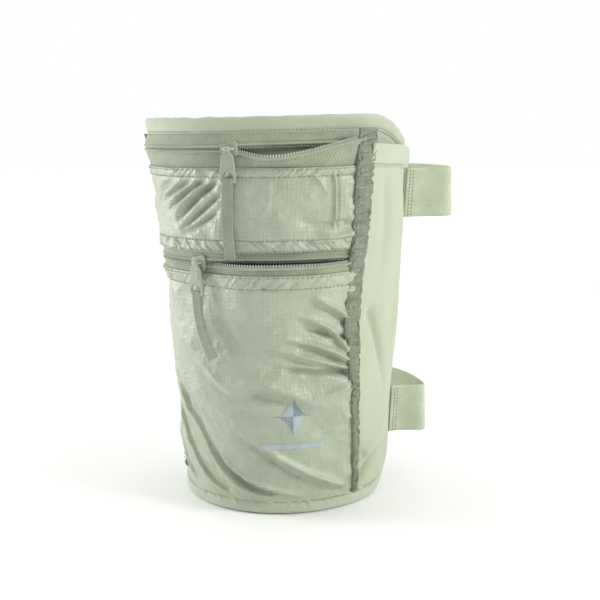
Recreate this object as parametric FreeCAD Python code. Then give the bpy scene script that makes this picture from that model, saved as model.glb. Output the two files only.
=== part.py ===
"""Calf pouch: a two-pocket travel pouch that is strapped round the lower leg under the trousers.

Millimetres. Z is the axis of the calf, z = 0 is the plane that the bottom hem rests on, and the
pocket faces -Y. A bearing is measured about the calf's axis from -Y towards +X, in degrees, and a
"standoff" is how far something lies outside the back panel's outer face.
"""

import FreeCAD, Part
import math
import os

# ---- the calf and the body of the pouch
HEIGHT = 195.0
CALF_BOTTOM_R = 51.0
CALF_TOP_R = 66.0
LEFT_EDGE = -105.0
RIGHT_EDGE = 104.0
JERSEY = 1.2
HEM = 8.0
HEM_INSIDE = 0.7
BACK_BANDS = 12
TOP_HEM_OUTSIDE = 0.5
BOTTOM_HEM_OUTSIDE = 2.2

# ---- the right wing, where the top edge falls and the bottom edge rises
TOP_FALL = 0.46
TOP_KNEE = 66.0
BOTTOM_RISE = 0.9
BOTTOM_KNEE = 80.0
KNEE_SOFTNESS = 3.0
GUSSET_TOP_FRONT = 182.0
GUSSET_TOP_BACK = 177.0
GUSSET_FALL_POWER = 1.6
GUSSET_BACK_STANDOFF = 2.0

# ---- the left side is drawn in between its hems: depth, then where it grows and fades
WAIST = 10.8
WAIST_BEARINGS = (-30.0, -80.0)
WAIST_GROWS = (0.0, 100.0)
WAIST_FADES = (120.0, 200.0)

# ---- the pocket front: level, standoff at the left seam, bulge
FRONT_LEVELS = ((8.0, 1.8, 0.2), (60.0, 2.7, 8.5), (110.0, 3.4, 7.0), (140.0, 3.4, 7.0), (195.0, 3.4, 6.3))
BULGE_DIRECTION = (0.59, -0.81)
BULGE_AT_LEFT_SEAM = 0.36
FRONT_LEFT = -75.0
FRONT_RIGHT = 50.3
RIPSTOP = 0.6
DIVIDER = 0.4
DIVIDER_LEVELS = (21.0, 34.0, 47.0, 60.0, 74.0, 88.0, 100.0, 110.0, 124.0, 132.6)
BINDING_LEFT = 50.6
BINDING_RIGHT = 55.4
BINDING_TOP = 188.5
GUSSET_START = 55.8

# ---- the mouth of the main pocket, held open to the right of its slider
MOUTH_FROM_Z = 140.0
MOUTH_FULL_Z = 172.0
MOUTH_START = -6.0
MOUTH_FULL = 24.0
MOUTH_BULGE = 1.3
MOUTH_SAG = 3.0
MOUTH_RISE = 5.6

# ---- zips
TOP_CHAIN_Z = 180.7
TOP_TAPE_STANDOFF = 3.5
TOP_SLIDER = -1.0
CARD_CHAIN_Z = 128.6
CARD_SLIDER = -15.0
CARD_LIP = 5.0
TAPE = 0.5
TAPE_BEHIND_PANEL = 0.8
COIL_DEPTH = 0.95
COIL_HEIGHT = 1.7
COIL_BEHIND_FACE = TAPE + 0.05
CHAIN_GAP = 0.1
SLIDER_SPREAD = 1.5
TAPE_UNDER_PANEL = 3.5
UPPER_PANEL_BOTTOM = 133.5
UPPER_PANEL_TOP = 172.0
LOWER_PANEL_TOP = 123.6

# ---- slider, pull tab and webbing pull
SLIDER_LENGTH = 8.5
SLIDER_WIDE = 7.0
SLIDER_NARROW = 5.0
OUTER_PLATE = (0.3, 1.2)
INNER_PLATE = (-2.4, -1.7)
POST_LENGTH = 1.2
POST_HEIGHT = 1.1
BAIL_OUT = 3.0
BAIL_R = 0.65
BAIL_LEGS = (1.6, 2.6)
TAB_LENGTH = 15.3
TAB_TOP_WIDTH = 6.0
TAB_WIDTH = 7.8
TAB_THICK = 1.2
TAB_WINDOW = (5.8, 3.4)
TAB_BAR_R = 0.7
PULL_WIDTH = 5.4
PULL_THICK = 1.3
TOP_PULL_LENGTH = 36.8
CARD_PULL_LENGTH = 32.0

# ---- straps
STRAP_WIDTH = 25.0
STRAP_THICK = 1.4
UPPER_STRAP_Z = 142.0
LOWER_STRAP_Z = 27.5
UPPER_STRAP_REACH = 1.37
LOWER_STRAP_REACH = 1.34
PATCH = 1.0
PATCH_GAP = 0.14
STRAP_SEAM = 97.0
PATCH_FROM = -103.0
PATCH_TO = -83.0


def smooth(start, end, x):
    t = min(1.0, max(0.0, (x - start) / (end - start)))
    return t * t * (3 - 2 * t)


def ramp(x, knee):
    """0 before the knee and x - knee after it, rounded at the knee."""
    return KNEE_SOFTNESS * math.log1p(math.exp((x - knee) / KNEE_SOFTNESS))


def back(z):
    """Radius of the back panel's outer face."""
    return CALF_BOTTOM_R + (CALF_TOP_R - CALF_BOTTOM_R) * z / HEIGHT


def top_edge(bearing):
    return HEIGHT - TOP_FALL * ramp(bearing, TOP_KNEE)


def bottom_edge(bearing):
    return BOTTOM_RISE * (ramp(bearing, BOTTOM_KNEE) - ramp(LEFT_EDGE, BOTTOM_KNEE))


def front_level(z):
    """Left-seam standoff and bulge at a height, between the two levels round it."""
    for low, high in zip(FRONT_LEVELS, FRONT_LEVELS[1:]):
        if z <= high[0]:
            t = max(0.0, (z - low[0]) / (high[0] - low[0]))
            return low[1] + t * (high[1] - low[1]), low[2] + t * (high[2] - low[2])
    return FRONT_LEVELS[-1][1:]


def front_circle(z):
    """Centre and radius of the circle that the front's outer face follows at a height."""
    base, bulge = front_level(z)
    centre = (bulge * BULGE_DIRECTION[0], bulge * BULGE_DIRECTION[1])
    return centre, back(z) + base + BULGE_AT_LEFT_SEAM * bulge


def circle_reach(centre, radius, bearing):
    """Distance from the calf's axis to a circle, along a bearing."""
    a = math.radians(bearing)
    along = centre[0] * math.sin(a) - centre[1] * math.cos(a)
    return along + math.sqrt(radius**2 - centre[0] ** 2 - centre[1] ** 2 + along**2)


def front(bearing, z):
    """Radius of the pocket front's outer face."""
    full = circle_reach(*front_circle(z), bearing)
    near_mouth = min(1.0, max(0.0, (z - MOUTH_FROM_Z) / (MOUTH_FULL_Z - MOUTH_FROM_Z)))
    base, bulge = front_level(z)
    mouth = back(z) + base + bulge * MOUTH_BULGE * smooth(MOUTH_START, MOUTH_FULL, bearing)
    return full + near_mouth * (mouth - full)


def card_lip(bearing, z):
    """How far the lower panel's top stands out where the card zip is open."""
    along = smooth(CARD_SLIDER + 3, 8.0, bearing) * (1 - 0.8 * smooth(30.0, FRONT_RIGHT, bearing))
    return CARD_LIP * along * smooth(88.0, LOWER_PANEL_TOP, z)


def gusset(bearing, z):
    """Radius of the side gusset's outer face."""
    t = min(1.0, (bearing - GUSSET_START) / (RIGHT_EDGE - 1 - GUSSET_START))
    corner = front(GUSSET_START, z) - back(z)
    return back(z) + GUSSET_BACK_STANDOFF + (corner - GUSSET_BACK_STANDOFF) * (1 - t) ** GUSSET_FALL_POWER


def waist(bearing, z):
    return WAIST * smooth(*WAIST_BEARINGS, bearing) * smooth(*WAIST_GROWS, z) * (1 - smooth(*WAIST_FADES, z))


def at(bearing, radius, z):
    a = math.radians(bearing)
    radius -= waist(bearing, z)
    return FreeCAD.Vector(radius * math.sin(a), -radius * math.cos(a), z)


def stations(start, end, step=8.0, extra=()):
    """Evenly spaced bearings, with more where a shape changes quickly."""
    count = max(2, math.ceil((end - start) / step))
    even = [start + (end - start) * n / count for n in range(count + 1)]
    kept = [b for b in even if all(abs(b - e) > 1.2 for e in extra) or b in (start, end)]
    return sorted(kept + list(extra))


def ribbon(bearings, outline, ruled=False):
    """Solid lofted through upright outlines, one at each bearing; outline gives (radius, z) pairs.
    A ruled one runs straight between its outlines, so a quick change of shape doesn't ripple."""
    wires = []
    for bearing in bearings:
        corners = [at(bearing, radius, z) for radius, z in outline(bearing)]
        wires.append(Part.makePolygon(corners + corners[:1]))
    return Part.makeLoft(wires, True, ruled)


def wall(start, end, outer, levels, thickness, step=8.0):
    """Wall whose outer face is outer(bearing, z), through the levels(bearing) heights."""

    def outline(bearing):
        heights = levels(bearing)
        up = [(outer(bearing, z), z) for z in heights]
        down = [(radius - thickness, z) for radius, z in reversed(up)]
        return up + down

    return ribbon(stations(start, end, step), outline)


def along_zip(end, slider, outline):
    """Tape or coil of a zip, from the left seam, with a ruled solid that has outlines close together
    round the slider."""
    return ribbon(stations(FRONT_LEFT, end, 4.0, near_slider(slider)), outline, ruled=True)


def coil(slider, corners):
    """Coil half of a zip: corners(bearing) gives its outer radius and its low z."""

    def outline(bearing):
        outer, low = corners(bearing)
        inner, high = outer - COIL_DEPTH, low + COIL_HEIGHT
        return [(outer, low), (outer, high), (inner, high), (inner, low)]

    return along_zip(FRONT_RIGHT, slider, outline)


# ---- body panels


def back_panel():
    def levels(bearing):
        low, high = bottom_edge(bearing) + HEM, top_edge(bearing) - HEM
        return [low + (high - low) * n / BACK_BANDS for n in range(BACK_BANDS + 1)]

    return wall(LEFT_EDGE, RIGHT_EDGE, lambda b, z: back(z), levels, JERSEY, 5.0)


def top_hem():
    def outline(bearing):
        high = top_edge(bearing)
        low = high - HEM
        outside = [(back(low) + TOP_HEM_OUTSIDE, low), (back(high) + TOP_HEM_OUTSIDE, high)]
        inside = [(back(high) - JERSEY - HEM_INSIDE, high), (back(low) - JERSEY - HEM_INSIDE, low)]
        return outside + inside

    return ribbon(stations(LEFT_EDGE, RIGHT_EDGE, 5.0), outline)


def bottom_hem():
    def outline(bearing):
        low = bottom_edge(bearing)
        high = low + HEM
        outside = [(back(low) + BOTTOM_HEM_OUTSIDE, low), (back(high) + BOTTOM_HEM_OUTSIDE, high)]
        inside = [(back(high) - JERSEY - HEM_INSIDE, high), (back(low) - JERSEY - HEM_INSIDE, low)]
        return outside + inside

    return ribbon(stations(LEFT_EDGE, RIGHT_EDGE, 5.0), outline)


def gusset_top(bearing):
    t = (bearing - GUSSET_START) / (RIGHT_EDGE - GUSSET_START)
    return GUSSET_TOP_FRONT + (GUSSET_TOP_BACK - GUSSET_TOP_FRONT) * t


def side_gusset():
    def levels(bearing):
        low = bottom_edge(bearing) + HEM + 0.3
        high = gusset_top(bearing) - HEM
        return [low, low + 0.35 * (high - low), low + 0.7 * (high - low), high]

    return wall(GUSSET_START, RIGHT_EDGE - 1, gusset, levels, JERSEY, 5.0)


def gusset_hem():
    def levels(bearing):
        return [gusset_top(bearing) - HEM, gusset_top(bearing)]

    proud = 0.6
    return wall(GUSSET_START, RIGHT_EDGE - 1, lambda b, z: gusset(b, z) + proud, levels, JERSEY + proud, 5.0)


# ---- pocket panels


def upper_pocket_panel():
    tape_end = UPPER_PANEL_TOP - TAPE_UNDER_PANEL
    levels = [UPPER_PANEL_BOTTOM, MOUTH_FROM_Z, 150.0, 160.0, tape_end, UPPER_PANEL_TOP]
    return wall(FRONT_LEFT, FRONT_RIGHT, front, lambda b: levels, RIPSTOP, 4.0)


def lower_pocket_panel():
    tape_end = LOWER_PANEL_TOP - TAPE_UNDER_PANEL
    levels = [HEM + 0.1, 21.0, 34.0, 47.0, 60.0, 74.0, 88.0, 100.0, 110.0, tape_end, LOWER_PANEL_TOP]

    def face(bearing, z):
        return front(bearing, z) + card_lip(bearing, z)

    return wall(FRONT_LEFT, FRONT_RIGHT, face, lambda b: levels, RIPSTOP, 6.0)


def pocket_divider():
    """Lining that hangs from the card zip and parts the two pockets."""

    def halfway(bearing, z):
        gap = front(bearing, z) - back(z)
        return back(z) + max(0.7, min(0.5 * gap - 0.2, gap - 3.5))

    def outline(bearing):
        faces = [(halfway(bearing, z), z) for z in (HEM + 0.3, *DIVIDER_LEVELS)]
        sewn = MOUTH_FROM_Z
        faces.append((front(bearing, sewn) - RIPSTOP - 0.2, sewn))
        return faces + [(radius - DIVIDER, z) for radius, z in reversed(faces)]

    return ribbon(stations(FRONT_LEFT + 0.5, FRONT_RIGHT - 0.5, 4.0), outline, ruled=True)


def right_binding():
    levels = [HEM + 0.2, 34.0, 60.0, 100.0, 140.0, 165.0, BINDING_TOP]
    return wall(BINDING_LEFT, BINDING_RIGHT, lambda b, z: front(b, z) + 1.0, lambda b: levels, 2.4)


def left_binding():
    levels = [HEM + 0.2 + (178.0 - 0.2) * n / BACK_BANDS for n in range(BACK_BANDS + 1)]
    return wall(-79.5, FRONT_LEFT - 0.3, lambda b, z: back(z) + 3.9, lambda b: levels, 3.6)


def print_mark():
    """Generic four-pointed star over a short bar, printed on the lower panel."""
    middle, half = 21.0, 7.4
    level = FRONT_LEVELS[1][0]

    def skin(bearing, levels):
        outer = [(front(bearing, z) + 0.3, z) for z in levels]
        return outer + [(radius - 0.2, z) for radius, z in reversed(outer)]

    def star(bearing):
        t = 1 - abs(bearing - middle) / half
        reach = 0.5 + 9.0 * t**2.4
        return skin(bearing, (level - reach, level, level + reach))

    left = [middle - half + half * n / 4 for n in range(5)]
    right = [middle + half * n / 4 for n in range(5)]
    points = [ribbon(left, star), ribbon(right, star)]
    rule = ribbon(stations(9.0, 33.0, 6.0), lambda b: skin(b, (42.0, 44.6)))
    return Part.makeCompound([points[0].fuse(points[1]), rule])


# ---- zips


def spread(bearing, slider):
    """How far a chain half stands off the chain's line to the right of the slider's post."""
    return SLIDER_SPREAD / 2 * smooth(slider + 0.6, slider + 2.6, bearing)


def near_slider(slider):
    return (slider - 2.0, slider + 0.8, slider + 2.6, slider + 5.0, slider + 9.0)


def top_upper_tape():
    def outline(bearing):
        edge = TOP_CHAIN_Z + CHAIN_GAP + spread(bearing, TOP_SLIDER)
        chain = back(TOP_CHAIN_Z) + TOP_TAPE_STANDOFF
        hem_edge = top_edge(bearing) - HEM - 0.05
        under_hem = back(hem_edge) + 0.7
        outer = [(chain, edge), (chain, edge + 2.4), (under_hem, hem_edge)]
        return outer + [(radius - TAPE, z) for radius, z in reversed(outer)]

    return along_zip(60.0, TOP_SLIDER, outline)


def mouth_reach(bearing):
    """Standoff of the lower tape's free edge of the main pocket's mouth."""
    return TOP_TAPE_STANDOFF + 9.2 * smooth(TOP_SLIDER + 2, 22.0, bearing)


def mouth_edge(bearing):
    """Height of the lower tape's free edge."""
    sag = MOUTH_SAG * smooth(TOP_SLIDER, 14.0, bearing)
    rise = (MOUTH_SAG + MOUTH_RISE) * smooth(14.0, FRONT_RIGHT + 6.0, bearing)
    return TOP_CHAIN_Z - CHAIN_GAP - spread(bearing, TOP_SLIDER) - sag + rise


def top_lower_tape():
    def outline(bearing):
        free = mouth_edge(bearing)
        chain = back(TOP_CHAIN_Z) + mouth_reach(bearing)
        low = UPPER_PANEL_TOP - TAPE_UNDER_PANEL
        behind = front(bearing, low) - TAPE_BEHIND_PANEL
        above = front(bearing, UPPER_PANEL_TOP) - TAPE_BEHIND_PANEL
        outer = [(behind, low), (above, UPPER_PANEL_TOP), (chain, free - 2.4), (chain, free)]
        return outer + [(radius - TAPE, z) for radius, z in reversed(outer)]

    return along_zip(FRONT_RIGHT, TOP_SLIDER, outline)


def top_upper_coil():
    def corners(bearing):
        low = TOP_CHAIN_Z + CHAIN_GAP + spread(bearing, TOP_SLIDER)
        return back(TOP_CHAIN_Z) + TOP_TAPE_STANDOFF - COIL_BEHIND_FACE, low

    return coil(TOP_SLIDER, corners)


def top_lower_coil():
    def corners(bearing):
        outer = back(TOP_CHAIN_Z) + mouth_reach(bearing) - COIL_BEHIND_FACE
        return outer, mouth_edge(bearing) - COIL_HEIGHT

    return coil(TOP_SLIDER, corners)


def card_tape_face(bearing):
    return front(bearing, CARD_CHAIN_Z) - TAPE_BEHIND_PANEL


def card_upper_tape():
    def outline(bearing):
        low = CARD_CHAIN_Z + CHAIN_GAP + spread(bearing, CARD_SLIDER)
        high = UPPER_PANEL_BOTTOM + TAPE_UNDER_PANEL
        behind = front(bearing, high) - TAPE_BEHIND_PANEL
        face = card_tape_face(bearing)
        return [(face, low), (behind, high), (behind - TAPE, high), (face - TAPE, low)]

    return along_zip(FRONT_RIGHT, CARD_SLIDER, outline)


def card_edge(bearing):
    return CARD_CHAIN_Z - CHAIN_GAP - spread(bearing, CARD_SLIDER)


def card_lower_tape():
    def outline(bearing):
        lip = card_lip(bearing, LOWER_PANEL_TOP)
        low = LOWER_PANEL_TOP - TAPE_UNDER_PANEL
        behind = front(bearing, low) + card_lip(bearing, low) - TAPE_BEHIND_PANEL
        over = front(bearing, LOWER_PANEL_TOP) + lip - TAPE_BEHIND_PANEL
        face = card_tape_face(bearing) + lip
        edge = card_edge(bearing)
        outer = [(behind, low), (over, LOWER_PANEL_TOP), (face, edge - COIL_HEIGHT - 0.2), (face, edge)]
        return outer + [(radius - TAPE, z) for radius, z in reversed(outer)]

    return along_zip(FRONT_RIGHT, CARD_SLIDER, outline)


def card_upper_coil():
    def corners(bearing):
        low = CARD_CHAIN_Z + CHAIN_GAP + spread(bearing, CARD_SLIDER)
        return card_tape_face(bearing) - COIL_BEHIND_FACE, low

    return coil(CARD_SLIDER, corners)


def card_lower_coil():
    def corners(bearing):
        outer = card_tape_face(bearing) + card_lip(bearing, LOWER_PANEL_TOP) - COIL_BEHIND_FACE
        return outer, card_edge(bearing) - COIL_HEIGHT

    return coil(CARD_SLIDER, corners)


# ---- slider, tab and pull, in a local frame: x along the chain, out from the tape's face, z up
# from the chain, on the -Y side of the chain's centre


def block(x0, x1, out0, out1, z0, z1):
    return Part.makeBox(x1 - x0, out1 - out0, z1 - z0, FreeCAD.Vector(x0, -out1, z0))


def rod(radius, half_length, out, z):
    start = FreeCAD.Vector(-half_length, -out, z)
    return Part.makeCylinder(radius, 2 * half_length, start, FreeCAD.Vector(1, 0, 0))


def plate(outline, out0, out1):
    """Plate of an (x, z) outline, between two distances from the tape's face."""
    corners = [FreeCAD.Vector(x, -out0, z) for x, z in outline]
    face = Part.Face(Part.makePolygon(corners + corners[:1]))
    return face.extrude(FreeCAD.Vector(0, out0 - out1, 0))


def slider():
    half = SLIDER_LENGTH / 2
    wide, narrow = SLIDER_WIDE / 2, SLIDER_NARROW / 2
    outline = [(-half, -narrow), (-0.5, -narrow), (1.5, -wide), (half - 1, -wide), (half, -wide + 1)]
    outline += [(x, -z) for x, z in reversed(outline)]
    body = plate(outline, *OUTER_PLATE).fuse(plate(outline, *INNER_PLATE))
    post = block(half - POST_LENGTH, half, INNER_PLATE[0], OUTER_PLATE[1], -POST_HEIGHT / 2, POST_HEIGHT / 2)
    body = body.fuse(post)
    for side in (-1, 1):
        near, far = sorted((side * BAIL_LEGS[0], side * BAIL_LEGS[1]))
        body = body.fuse(block(near, far, OUTER_PLATE[1] - 0.1, BAIL_OUT + BAIL_R, -1.0, 1.0))
    return body.fuse(rod(BAIL_R, BAIL_LEGS[1], BAIL_OUT, 0.0)).removeSplitter()


def pull_tab():
    bar_z = -TAB_LENGTH + TAB_BAR_R
    neck = BAIL_LEGS[0] - 0.3
    top, low = TAB_TOP_WIDTH / 2, TAB_WIDTH / 2
    right = [(neck, 0.0), (neck, -1.9), (top, -2.4), (low, bar_z + 3.0), (low, bar_z)]
    outline = right + [(-x, z) for x, z in reversed(right)]
    out0, out1 = BAIL_OUT - TAB_THICK / 2, BAIL_OUT + TAB_THICK / 2
    tab = plate(outline, out0, out1).fuse(rod(1.5, neck, BAIL_OUT, 0.0))
    tab = tab.cut(rod(BAIL_R + 0.2, neck + 1, BAIL_OUT, 0.0))
    window = block(-TAB_WINDOW[0] / 2, TAB_WINDOW[0] / 2, out0 - 1, out1 + 1, bar_z - 2, bar_z + TAB_WINDOW[1])
    return tab.cut(window).fuse(rod(TAB_BAR_R, low, BAIL_OUT, bar_z)).removeSplitter()


def webbing_pull(length, lean_out, curve_right):
    """Flat webbing looped round the tab's bar; it leans out over the panel and bends to the right."""
    bar_z = -TAB_LENGTH + TAB_BAR_R
    loop = rod(TAB_BAR_R + 0.9, PULL_WIDTH / 2, BAIL_OUT, bar_z)
    tail = []
    for step in range(13):
        t = step / 12
        x = curve_right * t * t
        out = BAIL_OUT + lean_out * smooth(-0.2, 1.0, t)
        z = bar_z - 1.2 - (length - 2.8) * t
        turn = 2 * curve_right * t / length
        half = FreeCAD.Vector(PULL_WIDTH / 2, 0, PULL_WIDTH / 2 * turn)
        middle = FreeCAD.Vector(x, -out, z)
        depth = FreeCAD.Vector(0, PULL_THICK / 2, 0)
        corners = [middle - half - depth, middle + half - depth, middle + half + depth, middle - half + depth]
        tail.append(Part.makePolygon(corners + corners[:1]))
    pull = loop.fuse(Part.makeLoft(tail, True, True))
    return pull.cut(rod(TAB_BAR_R + 0.25, PULL_WIDTH, BAIL_OUT, bar_z)).removeSplitter()


def on_chain(shape, centre, radius, z, bearing):
    """Moves a local shape to a place on a chain that follows a circle."""
    placed = shape.copy()
    placed.translate(FreeCAD.Vector(0, -radius, z))
    placed.rotate(FreeCAD.Vector(0, 0, 0), FreeCAD.Vector(0, 0, 1), bearing)
    placed.translate(FreeCAD.Vector(centre[0], centre[1], 0))
    return placed


def zip_hardware(name, centre, radius, z, bearing, pull):
    pieces = {name + "_slider": slider(), name + "_pull_tab": pull_tab(), name + "_webbing_pull": pull}
    return {node: on_chain(shape, centre, radius, z, bearing) for node, shape in pieces.items()}


# ---- straps


def strap_route(low, reach):
    """Points of a strap's middle line seen from above: out from the gusset's edge, round the calf and
    on to the left wing. It clears the wing where the waist draws that in least."""
    radius = back(low + STRAP_WIDTH / 2)
    top = back(low + STRAP_WIDTH)
    seam = gusset(STRAP_SEAM, low + STRAP_WIDTH) + 0.3 + STRAP_THICK / 2
    wing = top + 2 * PATCH + 0.6 + STRAP_THICK / 2
    start = at(STRAP_SEAM, seam, low)
    loop = [(reach - 0.17, 0.20), (reach, 0.26), (reach - 0.06, 0.45), (1.04, 0.78), (0.48, 1.10), (-0.30, 1.07)]
    points = [start] + [FreeCAD.Vector(x * radius, y * radius, low) for x, y in loop + [(-0.84, 0.66)]]
    tightest = min((low, low + STRAP_WIDTH), key=lambda z: waist(PATCH_TO, z))
    ends = [at(bearing, wing, tightest) for bearing in (-112.0, -102.0, -92.0, -82.0)]
    return points + [FreeCAD.Vector(end.x, end.y, low) for end in ends]


def strap_line(low, reach):
    line = Part.BSplineCurve()
    line.interpolate(strap_route(low, reach))
    return line


def strap_band(line, from_share, to_share, inner, outer, height, count):
    """Part of a strap's band: inner and outer are offsets from its middle line."""
    lift = (STRAP_WIDTH - height) / 2
    wires = []
    for n in range(count + 1):
        share = from_share + (to_share - from_share) * n / count
        u = line.FirstParameter + share * (line.LastParameter - line.FirstParameter)
        tangent = line.tangent(u)[0]
        outward = FreeCAD.Vector(tangent.y, -tangent.x, 0)
        foot = line.value(u) + FreeCAD.Vector(0, 0, lift)
        up = FreeCAD.Vector(0, 0, height)
        inside, outside = foot + outward * inner, foot + outward * outer
        corners = [inside, outside, outside + up, inside + up]
        wires.append(Part.makePolygon(corners + corners[:1]))
    return Part.makeLoft(wires, True, False)


def strap_parts(name, low, reach):
    half = STRAP_THICK / 2
    line = strap_line(low, reach)
    patch_low, patch_height = low - 2.5, STRAP_WIDTH + 5.0
    loop_patch = wall(
        PATCH_FROM,
        PATCH_TO,
        lambda b, z: back(z) + PATCH_GAP + PATCH,
        lambda b: [patch_low + patch_height * n / 4 for n in range(5)],
        PATCH,
        5.0,
    )
    hook_face = -half - PATCH_GAP
    return {
        name + "_elastic_strap": strap_band(line, 0.0, 1.0, -half, half, STRAP_WIDTH, 44),
        name + "_hook_patch": strap_band(line, 0.905, 0.995, hook_face - PATCH, hook_face, STRAP_WIDTH - 3, 8),
        name + "_loop_patch": loop_patch,
    }


def all_parts():
    parts = {
        "back_panel": back_panel(),
        "top_hem": top_hem(),
        "bottom_hem": bottom_hem(),
        "side_gusset": side_gusset(),
        "gusset_hem": gusset_hem(),
        "upper_pocket_panel": upper_pocket_panel(),
        "lower_pocket_panel": lower_pocket_panel(),
        "pocket_divider": pocket_divider(),
        "right_seam_binding": right_binding(),
        "left_seam_binding": left_binding(),
        "print_mark": print_mark(),
        "top_zip_upper_tape": top_upper_tape(),
        "top_zip_lower_tape": top_lower_tape(),
        "top_zip_upper_coil": top_upper_coil(),
        "top_zip_lower_coil": top_lower_coil(),
        "card_zip_upper_tape": card_upper_tape(),
        "card_zip_lower_tape": card_lower_tape(),
        "card_zip_upper_coil": card_upper_coil(),
        "card_zip_lower_coil": card_lower_coil(),
    }
    top_radius = back(TOP_CHAIN_Z) + TOP_TAPE_STANDOFF
    top_pull = webbing_pull(TOP_PULL_LENGTH, 3.6, 1.2)
    parts.update(zip_hardware("top_zip", (0, 0), top_radius, TOP_CHAIN_Z, TOP_SLIDER, top_pull))
    centre, radius = front_circle(CARD_CHAIN_Z)
    card_radius = radius - TAPE_BEHIND_PANEL
    card_pull = webbing_pull(CARD_PULL_LENGTH, 0.6, 9.0)
    card_angle = chain_angle(centre, CARD_CHAIN_Z, CARD_SLIDER)
    parts.update(zip_hardware("card_zip", centre, card_radius, CARD_CHAIN_Z, card_angle, card_pull))
    parts.update(strap_parts("upper", UPPER_STRAP_Z, UPPER_STRAP_REACH))
    parts.update(strap_parts("lower", LOWER_STRAP_Z, LOWER_STRAP_REACH))
    return parts


def chain_angle(centre, z, bearing):
    """The angle about the front circle's own centre of a point given by its bearing."""
    point = at(bearing, circle_reach(*front_circle(z), bearing), z)
    return math.degrees(math.atan2(point.x - centre[0], -(point.y - centre[1])))


os.makedirs("parts", exist_ok=True)
for node, shape in all_parts().items():
    shape.exportStep("parts/" + node + ".step")
    print(f"{node:24} {shape.Volume / 1000:8.3f} cm3  valid {shape.isValid()}  solids {len(shape.Solids)}")
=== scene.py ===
"""Looks of the calf pouch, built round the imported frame.

Lengths in this script are millimetres and become metres where a mesh is made. Z is the calf's axis
and the pocket faces -Y. A bearing is measured about that axis from -Y towards +X, in degrees, and a
standoff is how far something lies outside the back panel's outer face. The shape functions are the
same as the CAD model's, so each piece lies where its CAD solid does.
"""

import bmesh
import bpy
import math
import numpy as np
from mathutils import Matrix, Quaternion, Vector, noise


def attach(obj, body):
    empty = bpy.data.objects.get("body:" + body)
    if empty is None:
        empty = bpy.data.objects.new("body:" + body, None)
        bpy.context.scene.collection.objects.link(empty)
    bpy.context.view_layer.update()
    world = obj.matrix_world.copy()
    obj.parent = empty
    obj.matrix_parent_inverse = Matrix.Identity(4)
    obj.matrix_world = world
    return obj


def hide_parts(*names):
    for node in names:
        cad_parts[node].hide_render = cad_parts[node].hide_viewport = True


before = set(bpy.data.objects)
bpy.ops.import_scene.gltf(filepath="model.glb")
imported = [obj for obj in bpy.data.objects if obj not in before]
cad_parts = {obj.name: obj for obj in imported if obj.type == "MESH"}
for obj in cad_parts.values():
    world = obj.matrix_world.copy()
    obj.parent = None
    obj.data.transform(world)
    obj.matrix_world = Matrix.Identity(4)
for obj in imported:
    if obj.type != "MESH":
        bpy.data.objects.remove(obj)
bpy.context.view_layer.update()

MM = 0.001

# ---- the body of the pouch
HEIGHT = 195.0
CALF_BOTTOM_R = 51.0
CALF_TOP_R = 66.0
LEFT_EDGE = -105.0
RIGHT_EDGE = 104.0
WING_END = RIGHT_EDGE - 1
JERSEY = 1.2
HEM = 8.0
GUSSET_HEM = 11.0
TOP_FALL = 0.46
TOP_KNEE = 66.0
BOTTOM_RISE = 0.9
BOTTOM_KNEE = 80.0
KNEE_SOFTNESS = 3.0
GUSSET_TOP_FRONT = 182.0
GUSSET_TOP_BACK = 177.0
GUSSET_FALL_POWER = 1.6
GUSSET_BACK_STANDOFF = 2.0
GUSSET_START = 55.8

# ---- the left side is drawn in between its hems
WAIST = 10.8
WAIST_BEARINGS = (-30.0, -80.0)
WAIST_GROWS = (0.0, 100.0)
WAIST_FADES = (120.0, 200.0)

# ---- the pocket front: level, standoff at the left seam, bulge
FRONT_LEVELS = ((8.0, 1.8, 0.2), (60.0, 2.7, 8.5), (110.0, 3.4, 7.0), (140.0, 3.4, 7.0), (195.0, 3.4, 6.3))
BULGE_DIRECTION = (0.59, -0.81)
BULGE_AT_LEFT_SEAM = 0.36
FRONT_LEFT = -75.0
RIPSTOP = 0.5
BINDING_TOP = 188.5
SEAM_HEIGHTS = (8.0, 38.0, 58.0, 78.0, 94.0, 112.0, 132.0, 150.0, 189.0)
SEAM_BEARINGS = (56.2, 50.4, 46.6, 45.5, 44.4, 45.2, 46.6, 48.0, 50.2)

# ---- the mouth of the main pocket
MOUTH_FROM_Z = 140.0
MOUTH_FULL_Z = 172.0
MOUTH_START = -6.0
MOUTH_FULL = 24.0
MOUTH_BULGE = 1.3
MOUTH_SAG = 3.0
MOUTH_RISE = 5.6

# ---- zips
TOP_CHAIN_Z = 180.7
TOP_TAPE_STANDOFF = 3.5
TOP_SLIDER = -1.0
CARD_CHAIN_Z = 128.6
CARD_SLIDER = -15.0
CARD_LIP = 5.0
TAPE = 0.5
TAPE_BEHIND_PANEL = 0.8
SLIDER_SPREAD = 1.5
UPPER_PANEL_BOTTOM = 133.5
UPPER_PANEL_TOP = 172.0
LOWER_PANEL_TOP = 123.6
TAPE_UNDER_PANEL = 3.5
COIL_PITCH = 1.15

# ---- slider, pull tab and webbing pull
BAIL_OUT = 3.0
BAIL_R = 0.65
BAR_Z = -14.6
TOP_PULL_LENGTH = 36.8
CARD_PULL_LENGTH = 32.0

# ---- straps
STRAP_WIDTH = 25.0
STRAP_THICK = 1.4
UPPER_STRAP_Z = 142.0
LOWER_STRAP_Z = 27.5
UPPER_STRAP_REACH = 1.37
LOWER_STRAP_REACH = 1.34
PATCH = 1.0
STRAP_SEAM = 97.0
PATCH_FROM = -103.0
PATCH_TO = -83.0

MM_PER_DEGREE = math.radians(66.0)


# ================================================================ shape of the pouch


def smooth(start, end, x):
    t = np.clip((np.asarray(x, float) - start) / (end - start), 0, 1)
    return t * t * (3 - 2 * t)


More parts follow.
